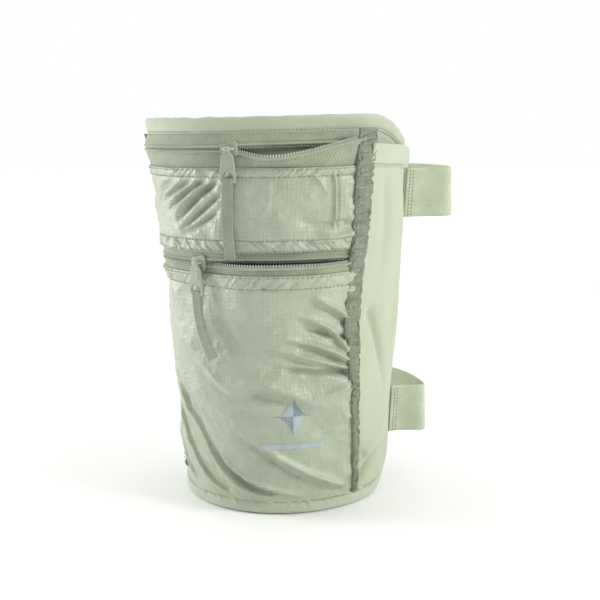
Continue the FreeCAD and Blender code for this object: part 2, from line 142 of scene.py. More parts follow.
def ramp(x, knee):
    """0 before the knee and x - knee after it, rounded at the knee."""
    return KNEE_SOFTNESS * np.log1p(np.exp((np.asarray(x, float) - knee) / KNEE_SOFTNESS))


def back(z):
    return CALF_BOTTOM_R + (CALF_TOP_R - CALF_BOTTOM_R) * z / HEIGHT


def top_edge(bearing):
    return HEIGHT - TOP_FALL * ramp(bearing, TOP_KNEE)


def bottom_edge(bearing):
    return BOTTOM_RISE * (ramp(bearing, BOTTOM_KNEE) - ramp(LEFT_EDGE, BOTTOM_KNEE))


def front_level(z):
    heights, standoffs, bulges = np.array(FRONT_LEVELS).T
    return np.interp(z, heights, standoffs), np.interp(z, heights, bulges)


def front_circle(z):
    base, bulge = front_level(z)
    centre = (bulge * BULGE_DIRECTION[0], bulge * BULGE_DIRECTION[1])
    return centre, back(z) + base + BULGE_AT_LEFT_SEAM * bulge


def circle_reach(centre, radius, bearing):
    a = np.radians(bearing)
    along = centre[0] * np.sin(a) - centre[1] * np.cos(a)
    return along + np.sqrt(radius**2 - centre[0] ** 2 - centre[1] ** 2 + along**2)


def front(bearing, z):
    """Radius of the smooth pocket front."""
    full = circle_reach(*front_circle(z), bearing)
    near_mouth = np.clip((z - MOUTH_FROM_Z) / (MOUTH_FULL_Z - MOUTH_FROM_Z), 0, 1)
    base, bulge = front_level(z)
    mouth = back(z) + base + bulge * MOUTH_BULGE * smooth(MOUTH_START, MOUTH_FULL, bearing)
    return full + near_mouth * (mouth - full)


def seam(z):
    """Bearing of the right seam, where the pocket front meets the gusset."""
    return np.interp(z, SEAM_HEIGHTS, SEAM_BEARINGS)


def card_lip(bearing, z):
    along = smooth(CARD_SLIDER + 3, 8.0, bearing) * (1 - 0.8 * smooth(30.0, seam(z), bearing))
    return CARD_LIP * along * smooth(88.0, LOWER_PANEL_TOP, z)


def waist(bearing, z):
    return WAIST * smooth(*WAIST_BEARINGS, bearing) * smooth(*WAIST_GROWS, z) * (1 - smooth(*WAIST_FADES, z))


def at(bearing, radius, z):
    a = np.radians(bearing)
    radius = radius - waist(bearing, z)
    return np.stack(np.broadcast_arrays(radius * np.sin(a), -radius * np.cos(a), z), -1)


def wander(x, y, size, seed=0.0, octaves=1):
    """Smooth noise, about -1 to 1, whose bumps are about size millimetres."""
    x, y = np.broadcast_arrays(np.asarray(x, float), np.asarray(y, float))
    flat = zip(x.ravel() / size, y.ravel() / size)
    if octaves == 1:
        values = [noise.noise(Vector((u, v, seed))) for u, v in flat]
    else:
        values = [noise.fractal(Vector((u, v, seed)), 0.9, 2.0, octaves) for u, v in flat]
    return 1.6 * np.array(values).reshape(x.shape)


# ================================================================ folds in the cloth


def curve_through(points, count):
    """Points spread evenly along a smooth curve through a few points."""
    p = np.asarray(points, float)
    p = np.vstack([2 * p[0] - p[1], p, 2 * p[-1] - p[-2]])
    found = []
    spans = len(p) - 3
    for share in np.linspace(0, spans - 1e-6, count):
        i = int(share)
        t = share - i
        a, b, c, d = p[i : i + 4]
        square = 2 * a - 5 * b + 4 * c - d
        cube = 3 * b - a - 3 * c + d
        found.append(0.5 * (2 * b + (c - a) * t + square * t**2 + cube * t**3))
    return np.array(found)


def fold(bearing, z, line, height, width, start=0.15, end=0.5, lean=0.0):
    """Height of one fold: a crest along the line, or a valley where height is negative. It swells over
    the first share start of its length and dies away over the last share end. lean sets a shadowed
    valley beside the crest."""
    path = curve_through(line, 28) * (MM_PER_DEGREE, 1.0)
    x, y = np.broadcast_arrays(bearing * MM_PER_DEGREE, z)
    best = np.full(x.shape, 1e9)
    side = np.zeros(x.shape)
    place = np.zeros(x.shape)
    for n, (a, b) in enumerate(zip(path, path[1:])):
        run = b - a
        length = np.hypot(*run)
        t = np.clip(((x - a[0]) * run[0] + (y - a[1]) * run[1]) / length**2, 0, 1)
        off_x, off_y = x - a[0] - t * run[0], y - a[1] - t * run[1]
        distance = np.hypot(off_x, off_y)
        nearer = distance < best
        best = np.where(nearer, distance, best)
        side = np.where(nearer, (run[0] * off_y - run[1] * off_x) / length, side)
        place = np.where(nearer, (n + t) / (len(path) - 1), place)
    strength = smooth(-0.001, max(start, 0.001), place) * (1 - smooth(1 - end, 1.001, place))
    crest = (1 + (best / width) ** 2) ** -1.5
    valley = np.exp(-(((np.abs(side - lean * 1.7 * width)) / width) ** 2)) if lean else 0
    return height * strength * (crest - 0.7 * abs(lean) * valley)


FOLD_DEPTH = 2.3

UPPER_FOLDS = (
    # gathers that fan out from the slider to the left seam
    dict(line=((-4, 168), (-16, 158.5), (-27, 146)), height=-1.7, width=1.5, start=0.3, end=0.35),
    dict(line=((-10, 168), (-22, 160.5), (-33, 150)), height=-1.6, width=1.6, start=0.3, end=0.4),
    dict(line=((-17, 168), (-29, 161), (-38, 154)), height=-1.3, width=1.5, start=0.3, end=0.5),
    dict(line=((-3, 162), (-13, 153), (-25, 142)), height=-1.5, width=1.3, start=0.3, end=0.4),
    dict(line=((-4, 154), (-13, 147), (-24, 141)), height=-1.1, width=1.3, start=0.3, end=0.5),
    dict(line=((-7, 168), (-20, 158), (-30, 147)), height=0.8, width=1.6, start=0.3, end=0.4),
    dict(line=((-26, 168), (-40, 160), (-52, 146)), height=-1.0, width=2.2, start=0.3, end=0.5),
    dict(line=((-74, 158), (-60, 152), (-46, 142)), height=0.9, width=2.0, start=0.05, end=0.6),
    dict(line=((-74, 166), (-62, 165), (-52, 160)), height=-0.8, width=1.6, start=0.05, end=0.6),
    # the crease down the right of the card's place, and the slack beside it
    dict(line=((37, 171), (37.4, 158), (37, 141)), height=0.9, width=0.8, start=0.05, end=0.2, lean=0.8),
    dict(line=((28, 170), (31.5, 166), (34.5, 159)), height=0.8, width=1.0, start=0.2, end=0.5),
    dict(line=((12, 170), (14, 160), (10, 146)), height=0.7, width=3.0, start=0.3, end=0.5),
    dict(line=((22, 150), (30, 146), (44, 147)), height=-0.8, width=2.0, start=0.5, end=0.1),
    dict(line=((18, 141), (32, 139), (46, 142)), height=0.8, width=1.8, start=0.5, end=0.1),
)

LOWER_FOLDS = (
    # gathers that fan out from the right seam
    dict(line=((45, 80), (31, 89), (10, 96)), height=1.5, width=1.7, start=0.04, end=0.6, lean=0.9),
    dict(line=((45, 76), (28, 83), (4, 92)), height=1.3, width=1.5, start=0.04, end=0.6, lean=0.9),
    dict(line=((45, 74.5), (26, 76.5), (6, 80)), height=-1.6, width=1.5, start=0.04, end=0.55),
    dict(line=((45, 83), (34, 98), (19, 106.5)), height=1.4, width=1.6, start=0.04, end=0.5, lean=0.8),
    dict(line=((45, 99), (36, 107.5), (25, 115)), height=1.3, width=1.5, start=0.04, end=0.4, lean=0.8),
    dict(line=((45, 91), (33, 95), (22, 99)), height=-1.2, width=1.5, start=0.04, end=0.5),
    dict(line=((46, 69), (38, 66), (24, 62)), height=1.0, width=2.2, start=0.04, end=0.6, lean=-0.6),
    dict(line=((47, 52), (40, 50), (26, 47)), height=0.8, width=2.6, start=0.04, end=0.6, lean=0.5),
    # the slack across the middle and round the print
    dict(line=((-9, 66), (6, 71), (22, 65), (38, 55)), height=1.5, width=3.4, start=0.4, end=0.4, lean=-0.9),
    dict(line=((-22, 84), (-12, 74), (2, 62)), height=1.1, width=2.8, start=0.4, end=0.5, lean=-0.7),
    dict(line=((-34, 98), (-26, 88), (-10, 80)), height=0.9, width=3.4, start=0.4, end=0.6, lean=0.5),
    # long folds from the left seam to the bottom hem
    dict(
        line=((-42, 76), (-30, 50), (-18, 26), (0, 12), (14, 8)),
        height=1.7, width=1.8, start=0.2, end=0.12, lean=0.9,
    ),
    dict(
        line=((-50, 60), (-40, 34), (-28, 17), (-13, 8)),
        height=1.6, width=1.6, start=0.2, end=0.1, lean=0.9,
    ),
    dict(line=((-62, 44), (-52, 26), (-42, 9)), height=1.2, width=1.8, start=0.3, end=0.1, lean=0.8),
    dict(line=((-9, 52), (10, 36), (30, 22), (51, 11)), height=1.6, width=2.2, start=0.5, end=0.1, lean=-0.9),
    dict(line=((-24, 34), (-6, 22), (12, 14), (28, 8)), height=1.2, width=1.9, start=0.5, end=0.1, lean=-0.8),
    # slack beside the left seam
    dict(line=((-74, 112), (-60, 104), (-46, 101)), height=1.0, width=2.2, start=0.05, end=0.7, lean=0.7),
    dict(line=((-74, 82), (-62, 78), (-50, 66)), height=1.1, width=2.4, start=0.05, end=0.6, lean=-0.7),
    dict(line=((-74, 62), (-63, 54), (-56, 40)), height=1.0, width=2.2, start=0.05, end=0.6, lean=0.7),
    # the lip sags where the card pocket stands open
    dict(line=((-14, 121), (-16, 108), (-12, 92)), height=-1.0, width=3.0, start=0.1, end=0.7),
)


def relief(bearing, z, folds, bottom, top, left_depth=1.0):
    """How far the slack ripstop lies off the smooth front, between its seams. Its folds are
    left_depth times as deep at the left."""
    depth = FOLD_DEPTH * (left_depth + (1 - left_depth) * smooth(-32, 2, bearing))
    x = bearing * MM_PER_DEGREE
    height = 1.6 * wander(x + 0.4 * z, z, 34.0, 3.1) + 0.5 * wander(x + 0.6 * z, z, 11.0, 7.7)
    height = height + 0.9 * (0.3 - np.abs(wander(x + 0.9 * z, z - 0.4 * x, 21.0, 13.0)))
    height = height + 0.5 * (0.3 - np.abs(wander(x - 0.5 * z, z + 0.5 * x, 10.0, 17.0)))
    height = height + 0.10 * wander(x, z, 2.6, 11.3, octaves=3)
    for one in folds:
        height = height + depth * fold(bearing, z, **one)
    inside = smooth(-76, -70, bearing) * smooth(0, 5, seam(z) - bearing)
    inside = inside * smooth(bottom - 1, bottom + 7, z) * smooth(0, 8, top - z)
    right_pucker = np.exp(-np.abs(seam(z) - 3.6 - bearing) / 4.0) * wander(0 * x + 5, z, 4.2, 21.0)
    left_pucker = np.exp(-np.abs(bearing + 74) / 5.0) * wander(0 * x + 9, z, 5.0, 23.0)
    under_binding = smooth(-3.4, -1.5, bearing - seam(z))
    puckers = 0.9 * right_pucker * (1 - under_binding) + 0.6 * left_pucker
    return height * (0.12 + 0.88 * inside) + puckers


def hemmed_band(bearing, from_edge, width, seed):
    """The gathered double layer beside a zip: puckers that end at the seam's second stitch line."""
    x = bearing * MM_PER_DEGREE
    within = smooth(-0.2, 0.9, from_edge) * (1 - smooth(width - 0.5, width + 0.5, from_edge))
    gathers = 0.8 * (0.35 - np.abs(wander(x + 0.9 * from_edge, 0.3 * from_edge, 3.4, seed)))
    puckers = gathers + 0.35 * wander(x - from_edge, from_edge, 4.6, seed + 2)
    groove = -0.40 * np.exp(-(((from_edge - width) / 0.6) ** 2))
    clear_of_seam = smooth(0, 3.5, seam(150.0) - 3.0 - bearing)
    return (within * (0.35 + puckers) + groove) * (0.25 + 0.75 * clear_of_seam)


def upper_face(bearing, z):
    """Radius of the upper panel's outer face, folds and all."""
    slack = relief(bearing, z, UPPER_FOLDS, UPPER_PANEL_BOTTOM, UPPER_PANEL_TOP)
    top_band = hemmed_band(bearing, UPPER_PANEL_TOP - z, 4.2, 31.0)
    low_band = hemmed_band(bearing, z - UPPER_PANEL_BOTTOM, 5.6, 37.0)
    return front(bearing, z) + slack + top_band + 1.3 * low_band


def lower_face(bearing, z):
    """Radius of the lower panel's outer face, folds and all."""
    slack = relief(bearing, z, LOWER_FOLDS, HEM, LOWER_PANEL_TOP, 0.45)
    slack = np.maximum(slack, -0.3 * (front(bearing, z) - back(z)))
    band = hemmed_band(bearing, LOWER_PANEL_TOP - z, 6.4, 43.0)
    return front(bearing, z) + card_lip(bearing, z) + slack + 1.2 * band


def gusset(bearing, z):
    """Radius of the side gusset's outer face, with its soft folds."""
    start = seam(z) + 1.5
    t = np.clip((bearing - start) / (WING_END - start), 0, 1)
    corner = front(start, z) - back(z)
    fall = (corner - GUSSET_BACK_STANDOFF) * (1 - t) ** GUSSET_FALL_POWER
    smooth_face = back(z) + GUSSET_BACK_STANDOFF + fall
    folds = fold(bearing, z, ((53, 106), (60, 92), (69, 70), (72, 50)), -4.2, 3.6, 0.2, 0.5)
    folds = folds + fold(bearing, z, ((57, 9), (63, 18), (75, 30)), -5.5, 2.6, 0.02, 0.5)
    folds = folds + fold(bearing, z, ((58, 26), (66, 34), (80, 42)), 2.4, 4.0, 0.1, 0.5)
    folds = folds + fold(bearing, z, ((62, 172), (64, 140), (61, 112)), -1.8, 5.0, 0.2, 0.4)
    folds = folds + fold(bearing, z, ((80, 170), (84, 120), (82, 70)), 1.6, 6.0, 0.3, 0.3)
    x = bearing * MM_PER_DEGREE
    soft = 0.9 * wander(x, 0.5 * z, 24.0, 51.0) + 0.06 * wander(x, z, 3.0, 53.0)
    inside = smooth(0, 0.08, t) * (1 - smooth(0.85, 1, t))
    return smooth_face + (folds + soft) * inside


# ================================================================ meshes


def make_mesh(name, verts, faces, uvs=None):
    """Object of a mesh given in millimetres. uvs has one (u, v) in millimetres for each face corner."""
    mesh = bpy.data.meshes.new(name)
    mesh.from_pydata((np.asarray(verts, float) * MM).tolist(), [], [list(map(int, f)) for f in faces])
    if uvs is not None:
        layer = mesh.uv_layers.new(name="weave")
        layer.data.foreach_set("uv", (np.asarray(uvs, float).reshape(-1) * MM).astype(np.float32))
    turned = bmesh.new()
    turned.from_mesh(mesh)
    bmesh.ops.recalc_face_normals(turned, faces=turned.faces)
    turned.to_mesh(mesh)
    turned.free()
    mesh.shade_smooth()
    piece = bpy.data.objects.new(name, mesh)
    bpy.context.scene.collection.objects.link(piece)
    return piece


def loft_arrays(rings):
    """Verts, quads and weave coordinates of a closed skin through rings, an array (ring, point, 3).
    Each ring is a flat closed loop whose second half comes back beside its first."""
    count, around = rings.shape[:2]
    number = np.arange(count * around).reshape(count, around)
    turned = np.roll(number, -1, axis=1)
    quads = np.stack([number[:-1], turned[:-1], turned[1:], number[1:]], -1).reshape(-1, 4)
    u = np.r_[0, np.cumsum(np.linalg.norm(np.diff(rings, axis=0), axis=2).mean(1))]
    step = np.linalg.norm(np.roll(rings, -1, axis=1) - rings, axis=2).mean(0)
    v = np.r_[0, np.cumsum(step)]
    i, j = np.meshgrid(np.arange(count - 1), np.arange(around), indexing="ij")
    corner_u = np.stack([u[i], u[i], u[i + 1], u[i + 1]], -1)
    corner_v = np.stack([v[j], v[j + 1], v[j + 1], v[j]], -1)
    uvs = np.stack([corner_u, corner_v], -1).reshape(-1, 2)
    j = np.arange(around // 2 - 1)
    cap = np.stack([j, j + 1, around - 2 - j, around - 1 - j], -1)
    caps = np.vstack([cap[:, ::-1], cap + number[-1, 0]])
    cap_uvs = np.zeros((len(caps) * 4, 2))
    return rings.reshape(-1, 3), np.vstack([quads, caps]), np.vstack([uvs, cap_uvs])


def loft(name, rings):
    return make_mesh(name, *loft_arrays(rings))


def joined(name, parts):
    """One object of several (verts, faces, uvs) lofts."""
    verts, faces, uvs, base = [], [], [], 0
    for part_verts, part_faces, part_uvs in parts:
        verts.append(part_verts)
        faces.append(part_faces + base)
        uvs.append(part_uvs)
        base += len(part_verts)
    return make_mesh(name, np.vstack(verts), np.vstack(faces), np.vstack(uvs))


def cloth(name, face, left, right, levels, thickness, columns):
    """Closed skin of a cloth wall: face(bearing, z) is its outer radius, left and right its edges'
    bearings at each height, levels an array of heights, or one for each column."""
    share = np.linspace(0, 1, columns)[:, None]
    z = np.broadcast_to(levels, (columns, np.shape(levels)[-1]))
    bearing = left(z) + (right(z) - left(z)) * share
    radius = face(bearing, z)
    outer = at(bearing, radius, z)
    inner = at(bearing, radius - thickness, z)
    return loft(name, np.concatenate([outer, inner[:, ::-1]], axis=1))


def band(bearings, outline):
    """Rings of a hem, tape or cord: outline(bearing) gives (radius, z) arrays."""
    rings = []
    for bearing in bearings:
        radius, z = outline(bearing)
        rings.append(at(bearing, radius, z))
    return np.array(rings)


def tube(path, radius, sides=8, reference=(0, 0, 1)):
    """Rings of a round tube along a path."""
    path = np.asarray(path, float)
    run = np.gradient(path, axis=0)
    run /= np.linalg.norm(run, axis=1)[:, None]
    first = np.cross(run, reference)
    first /= np.linalg.norm(first, axis=1)[:, None]
    second = np.cross(run, first)
    turn = np.linspace(0, 2 * np.pi, sides, endpoint=False)[None, :, None]
    radius = np.broadcast_to(radius, len(path))[:, None, None]
    return path[:, None] + radius * (np.cos(turn) * first[:, None] + np.sin(turn) * second[:, None])


def thread(name, stitches, outward, radius=0.19, rise=0.2):
    """Sewing stitches: stitches is an array (stitch, 2, 3) of end points, and each one bows outward."""
    start, end = stitches[:, 0], stitches[:, 1]
    share = np.array([0.0, 0.12, 0.5, 0.88, 1.0])
    thick = radius * np.array([0.3, 0.85, 1.0, 0.85, 0.3])
    bow = rise * np.array([-0.6, 0.45, 1.0, 0.45, -0.6])
    run = end - start
    run_unit = run / np.linalg.norm(run, axis=1)[:, None]
    across = np.cross(run_unit, outward)
    centre = start[:, None] + share[None, :, None] * run[:, None] + bow[None, :, None] * outward[:, None]
    turn = np.linspace(0, 2 * np.pi, 6, endpoint=False)[None, None, :, None]
    ring = np.cos(turn) * across[:, None, None] + np.sin(turn) * outward[:, None, None]
    verts = centre[:, :, None] + thick[None, :, None, None] * ring
    number = np.arange(verts[..., 0].size).reshape(verts.shape[:3])
    turned = np.roll(number, -1, axis=2)
    quads = np.stack([number[:, :-1], turned[:, :-1], turned[:, 1:], number[:, 1:]], -1).reshape(-1, 4)
    first_end = [number[:, 0][:, i] for i in ([0, 1, 2, 3], [0, 3, 4, 5])]
    last_end = [number[:, 4][:, i] for i in ([3, 2, 1, 0], [5, 4, 3, 0])]
    ends = np.vstack(first_end + last_end)
    return make_mesh(name, verts.reshape(-1, 3), np.vstack([quads, ends]))


def seam_row(bearings, place, pitch, length=0.72, slant=0.0):
    """Stitches along a row that follows the bearings; place(bearing) gives its (radius, z). Slanted
    stitches lean by slant millimetres in height."""
    fine = np.linspace(*bearings, 600)
    radius, z = place(fine)
    line = at(fine, radius, z)
    travelled = np.r_[0, np.cumsum(np.linalg.norm(np.diff(line, axis=0), axis=1))]
    starts = np.arange(0.3, travelled[-1] - pitch, pitch)
    ends = np.stack([starts, starts + pitch * length], -1)
    points = np.stack([np.interp(ends, travelled, line[:, k]) for k in range(3)], -1)
    points[:, 0, 2] -= slant / 2
    points[:, 1, 2] += slant / 2
    return points


def upright_row(bearing, place, heights, pitch, length=0.72, slant=0.0):
    """Stitches up a seam: bearing(z) is where it runs and place(bearing, z) its radius."""
    starts = np.arange(heights[0], heights[1] - pitch, pitch)
    ends = np.stack([starts, starts + pitch * length], -1)
    across = np.array([-slant / 2, slant / 2]) / MM_PER_DEGREE
    where = bearing(ends) + across
    return at(where, place(where, ends), ends)


def outward_of(stitches):
    middle = stitches.mean(1)
    flat = middle * (1, 1, 0)
    return flat / np.linalg.norm(flat, axis=1)[:, None]


# ================================================================ materials


def srgb(red, green, blue):
    """Linear colour of an sRGB one given from 0 to 255."""
    scaled = np.array((red, green, blue)) / 255
    linear = np.where(scaled <= 0.04045, scaled / 12.92, ((scaled + 0.055) / 1.055) ** 2.4)
    return (*linear.tolist(), 1.0)


class Recipe:
    """A material while its nodes are being added."""

    def __init__(self, name, roughness, **constants):
        self.material = bpy.data.materials.new(name)
        self.material.use_nodes = True
        self.tree = self.material.node_tree
        self.surface = self.tree.nodes["Principled BSDF"]
        self.surface.inputs["Roughness"].default_value = roughness
        for label, value in constants.items():
            self.surface.inputs[label.replace("_", " ")].default_value = value

    def node(self, kind, inputs=(), **settings):
        made = self.tree.nodes.new(kind)
        for label, value in settings.items():
            setattr(made, label, value)
        for label, value in dict(inputs).items():
            self.connect(value, made.inputs[label])
        return made

    def connect(self, value, socket):
        if isinstance(value, bpy.types.NodeSocket):
            self.tree.links.new(value, socket)
        else:
            socket.default_value = value

    def math(self, operation, first, second=0.0):
        made = self.node("ShaderNodeMath", {0: first, 1: second}, operation=operation)
        return made.outputs[0]

    def weave_uv(self):
        """Distances along and across the cloth, in millimetres."""
        uv = self.node("ShaderNodeUVMap", uv_map="weave").outputs[0]
        split = self.node("ShaderNodeSeparateXYZ", {0: uv})
        return [self.math("MULTIPLY", split.outputs[k], 1 / MM) for k in (0, 1)]

    def ripple(self, distance, pitch):
        """Wave from 0 to 1 that repeats every pitch millimetres."""
        turned = self.math("SINE", self.math("MULTIPLY", distance, 2 * math.pi / pitch))
        return self.math("ADD", self.math("MULTIPLY", turned, 0.5), 0.5)

    def noise(self, size, detail=3.0, roughness=0.55):
        """Noise from 0 to 1 whose blotches are about size millimetres."""
        where = self.node("ShaderNodeTexCoord").outputs["Object"]
        inputs = {"Vector": where, "Scale": 1 / (size * MM), "Detail": detail, "Roughness": roughness}
        made = self.node("ShaderNodeTexNoise", inputs)
        return made.outputs["Fac"]

    def mix(self, amount, low, high):
        made = self.node("ShaderNodeMix", data_type="RGBA")
        for index, value in ((0, amount), (6, low), (7, high)):
            self.connect(value, made.inputs[index])
        return made.outputs[2]

    def colour(self, socket):
        self.connect(socket, self.surface.inputs["Base Color"])

    def roughness(self, amount, low, high):
        spread = self.node("ShaderNodeMapRange", {"Value": amount, "To Min": low, "To Max": high})
        self.connect(spread.outputs[0], self.surface.inputs["Roughness"])

    def bump(self, *layers):
        """Bump of several (height, depth in millimetres) layers, the coarsest first."""
        normal = None
        for height, depth in layers:
            made = self.node("ShaderNodeBump", {"Height": height, "Distance": depth * MM, "Strength": 1.0})
            if normal is not None:
                self.connect(normal, made.inputs["Normal"])
            normal = made.outputs[0]
        self.connect(normal, self.surface.inputs["Normal"])


def ripstop(name, light, dark, roughness=0.32, crinkle=0.38):
    """Thin silky nylon: a fine plain weave with a reinforcing grid, and small crinkles."""
    recipe = Recipe(name, roughness, Specular_IOR_Level=0.8, Sheen_Weight=0.12, Sheen_Roughness=0.4)
    along, across = recipe.weave_uv()
    fine = recipe.math("MULTIPLY", recipe.ripple(along, 0.42), recipe.ripple(across, 0.42))
    lines = [recipe.math("POWER", recipe.ripple(d, 2.05), 9.0) for d in (along, across)]
    grid = recipe.math("MAXIMUM", *lines)
    blotch = recipe.noise(14.0, 4.0)
    small = recipe.noise(1.8, 3.0, 0.65)
    shade = recipe.math("ADD", recipe.math("MULTIPLY", blotch, 0.7), recipe.math("MULTIPLY", small, 0.3))
    base = recipe.mix(shade, dark, light)
    threads = recipe.mix(recipe.math("MULTIPLY", grid, 0.34), base, dark)
    recipe.colour(recipe.mix(recipe.math("MULTIPLY", fine, 0.16), threads, dark))
    recipe.roughness(shade, roughness - 0.07, roughness + 0.12)
    recipe.bump((recipe.noise(4.5, 4.0, 0.6), crinkle), (grid, 0.07), (fine, 0.035))
    return recipe.material


def jersey(name, light, dark):
    """Matt stretch knit: columns of small V stitches, with a soft nap."""
    recipe = Recipe(name, 0.92, Specular_IOR_Level=0.25, Sheen_Weight=0.35, Sheen_Roughness=0.55)
    along, across = recipe.weave_uv()
    column = recipe.math("ABSOLUTE", recipe.math("SINE", recipe.math("MULTIPLY", along, math.pi / 0.8)))
    legs = recipe.ripple(recipe.math("ADD", across, recipe.math("MULTIPLY", column, 0.45)), 0.62)
    knit = recipe.math("MULTIPLY", legs, column)
    blotch = recipe.noise(22.0, 3.0)
    nap = recipe.noise(0.7, 4.0, 0.7)
    shade = recipe.math("ADD", recipe.math("MULTIPLY", blotch, 0.55), recipe.math("MULTIPLY", nap, 0.45))
    base = recipe.mix(shade, dark, light)
    recipe.colour(recipe.mix(recipe.math("MULTIPLY", knit, 0.22), base, light))
    recipe.bump((recipe.noise(5.0, 3.0), 0.12), (knit, 0.09), (nap, 0.05))
    return recipe.material


def herringbone(name, light, dark, rib, flip, roughness=0.75):
    """Woven tape or elastic: diagonal ribs that change direction every flip millimetres across it."""
    recipe = Recipe(name, roughness, Specular_IOR_Level=0.35, Sheen_Weight=0.2, Sheen_Roughness=0.5)
    along, across = recipe.weave_uv()
    zigzag = recipe.math("PINGPONG", across, flip)
    diagonal = recipe.ripple(recipe.math("ADD", along, zigzag), rib)
    strands = recipe.ripple(across, 0.38)
    weave = recipe.math("MULTIPLY", diagonal, recipe.math("ADD", recipe.math("MULTIPLY", strands, 0.4), 0.6))
    blotch = recipe.noise(9.0, 4.0)
    base = recipe.mix(blotch, dark, light)
    valley = recipe.math("SUBTRACT", 1.0, weave)
    recipe.colour(recipe.mix(recipe.math("MULTIPLY", valley, 0.8), base, dark))
    recipe.roughness(blotch, roughness - 0.1, roughness + 0.1)
    recipe.bump((recipe.noise(2.5, 3.0), 0.05), (weave, 0.14), (recipe.noise(0.3), 0.02))
    return recipe.material


def paint(name, light, dark):
    """Satin enamel on a die casting, rubbed a little at its edges."""
    recipe = Recipe(name, 0.38, Specular_IOR_Level=0.5, Coat_Weight=0.25, Coat_Roughness=0.3)
    edge = recipe.node("ShaderNodeNewGeometry").outputs["Pointiness"]
    rubbed = recipe.node("ShaderNodeMapRange", {"Value": edge, "From Min": 0.51, "From Max": 0.6}).outputs[0]
    blotch = recipe.noise(3.0, 5.0, 0.6)
    base = recipe.mix(blotch, dark, light)
    recipe.colour(recipe.mix(recipe.math("MULTIPLY", rubbed, 0.5), base, srgb(214, 216, 204)))
    recipe.roughness(blotch, 0.28, 0.5)
    recipe.bump((recipe.noise(0.9, 3.0), 0.03), (recipe.noise(0.2, 2.0), 0.008))
    return recipe.material


def nylon(name, light, dark, roughness=0.35):
    """Smooth drawn filament, as in a zip's coil or sewing thread."""
    recipe = Recipe(name, roughness, Specular_IOR_Level=0.5, Subsurface_Weight=0.1)
    blotch = recipe.noise(1.6, 3.0)
    recipe.colour(recipe.mix(blotch, dark, light))
    recipe.roughness(blotch, roughness - 0.08, roughness + 0.15)
    recipe.bump((recipe.noise(0.25, 2.0), 0.02))
    return recipe.material


def printed(name, light, dark):
    """Screen print on ripstop: the grid shows through, and the ink is thinner on its crests."""
    recipe = Recipe(name, 0.42, Specular_IOR_Level=0.45)
    along, across = recipe.weave_uv()
    lines = [recipe.math("POWER", recipe.ripple(d, 2.05), 9.0) for d in (along, across)]
    grid = recipe.math("MAXIMUM", *lines)
    worn = recipe.noise(1.2, 4.0, 0.7)
    base = recipe.mix(worn, dark, light)
    recipe.colour(recipe.mix(recipe.math("MULTIPLY", grid, 0.35), base, srgb(176, 186, 178)))
    recipe.bump((recipe.noise(3.2, 4.0, 0.6), 0.15), (grid, 0.05))
    return recipe.material


def fastener(name, light, dark, loop):
    """Touch fastener: rows of hooks, or a mat of loops."""
    recipe = Recipe(name, 0.8, Sheen_Weight=0.4, Sheen_Roughness=0.6)
    along, across = recipe.weave_uv()
    if loop:
        pile = recipe.noise(0.5, 5.0, 0.75)
    else:
        pile = recipe.math("MULTIPLY", recipe.ripple(along, 1.1), recipe.ripple(across, 0.9))
    recipe.colour(recipe.mix(pile, dark, light))
    recipe.bump((recipe.noise(4.0, 3.0), 0.2), (pile, 0.4))
    return recipe.material


def floor_paper(name):
    """Seamless white studio paper."""
    recipe = Recipe(name, 0.9, Specular_IOR_Level=0.1)
    recipe.colour(recipe.mix(recipe.noise(180.0, 2.0), srgb(247, 247, 246), srgb(251, 251, 250)))
    return recipe.material


NYLON_CLOTH = ripstop("ripstop_sage", srgb(186, 195, 171), srgb(158, 168, 143))
# painted shade: the binding's colours are darkened past the cloth's own colour to stand in for the shade that
# falls on the folded binding
SHADED_BAND_CLOTH = ripstop("ripstop_binding_painted_shade", srgb(148, 159, 132), srgb(88, 99, 74), 0.36, 1.5)
LINING_CLOTH = ripstop("ripstop_lining", srgb(128, 137, 114), srgb(96, 105, 83), 0.5, 0.3)
KNIT = jersey("jersey_sage", srgb(192, 200, 175), srgb(166, 176, 149))
HEM_KNIT = jersey("jersey_hem", srgb(196, 204, 181), srgb(168, 178, 153))
TAPE_WEAVE = herringbone("zip_tape_weave", srgb(206, 215, 191), srgb(128, 139, 113), 1.5, 1.25)
ELASTIC_WEAVE = herringbone("elastic_weave", srgb(236, 243, 222), srgb(168, 179, 152), 1.5, 6.2)
PULL_WEAVE = herringbone("pull_webbing_weave", srgb(194, 202, 179), srgb(128, 138, 114), 1.2, 1.35)
ENAMEL = paint("slider_enamel", srgb(172, 179, 156), srgb(150, 158, 134))
COIL_NYLON = nylon("coil_nylon", srgb(230, 234, 220), srgb(196, 203, 182))
THREAD = nylon("sewing_thread", srgb(204, 211, 190), srgb(176, 185, 160), 0.6)
# painted shade: a darker copy of the sewing thread, which paints shade onto the rows of stitches sewn with it
SHADED_THREAD = nylon("sewing_thread_painted_shade", srgb(158, 167, 142), srgb(128, 138, 113), 0.6)
INK_LIGHT = printed("print_light", srgb(182, 194, 196), srgb(160, 174, 176))
INK_DARK = printed("print_dark", srgb(140, 156, 162), srgb(120, 137, 143))
HOOK_TAPE = fastener("hook_tape_pile", srgb(196, 204, 180), srgb(150, 160, 134), False)
LOOP_TAPE = fastener("loop_tape_pile", srgb(206, 213, 192), srgb(160, 169, 146), True)


def finish_piece(piece, material, body, slot, *nodes):
    """Gives a piece its material and body, and hides the CAD nodes that it stands for. Its slot is not used.
    """
    piece.data.materials.append(material)
    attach(piece, body)
    if nodes:
        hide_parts(*nodes)
    return piece


def sew(name, stitches, body="root", material=None, outward=None, **sizes):
    """A row of stitches as its own piece."""
    outward = outward_of(stitches) if outward is None else outward
    row = thread(name, stitches, outward, **sizes)
    return finish_piece(row, material or THREAD, body, "ripstop")


# ================================================================ body panels


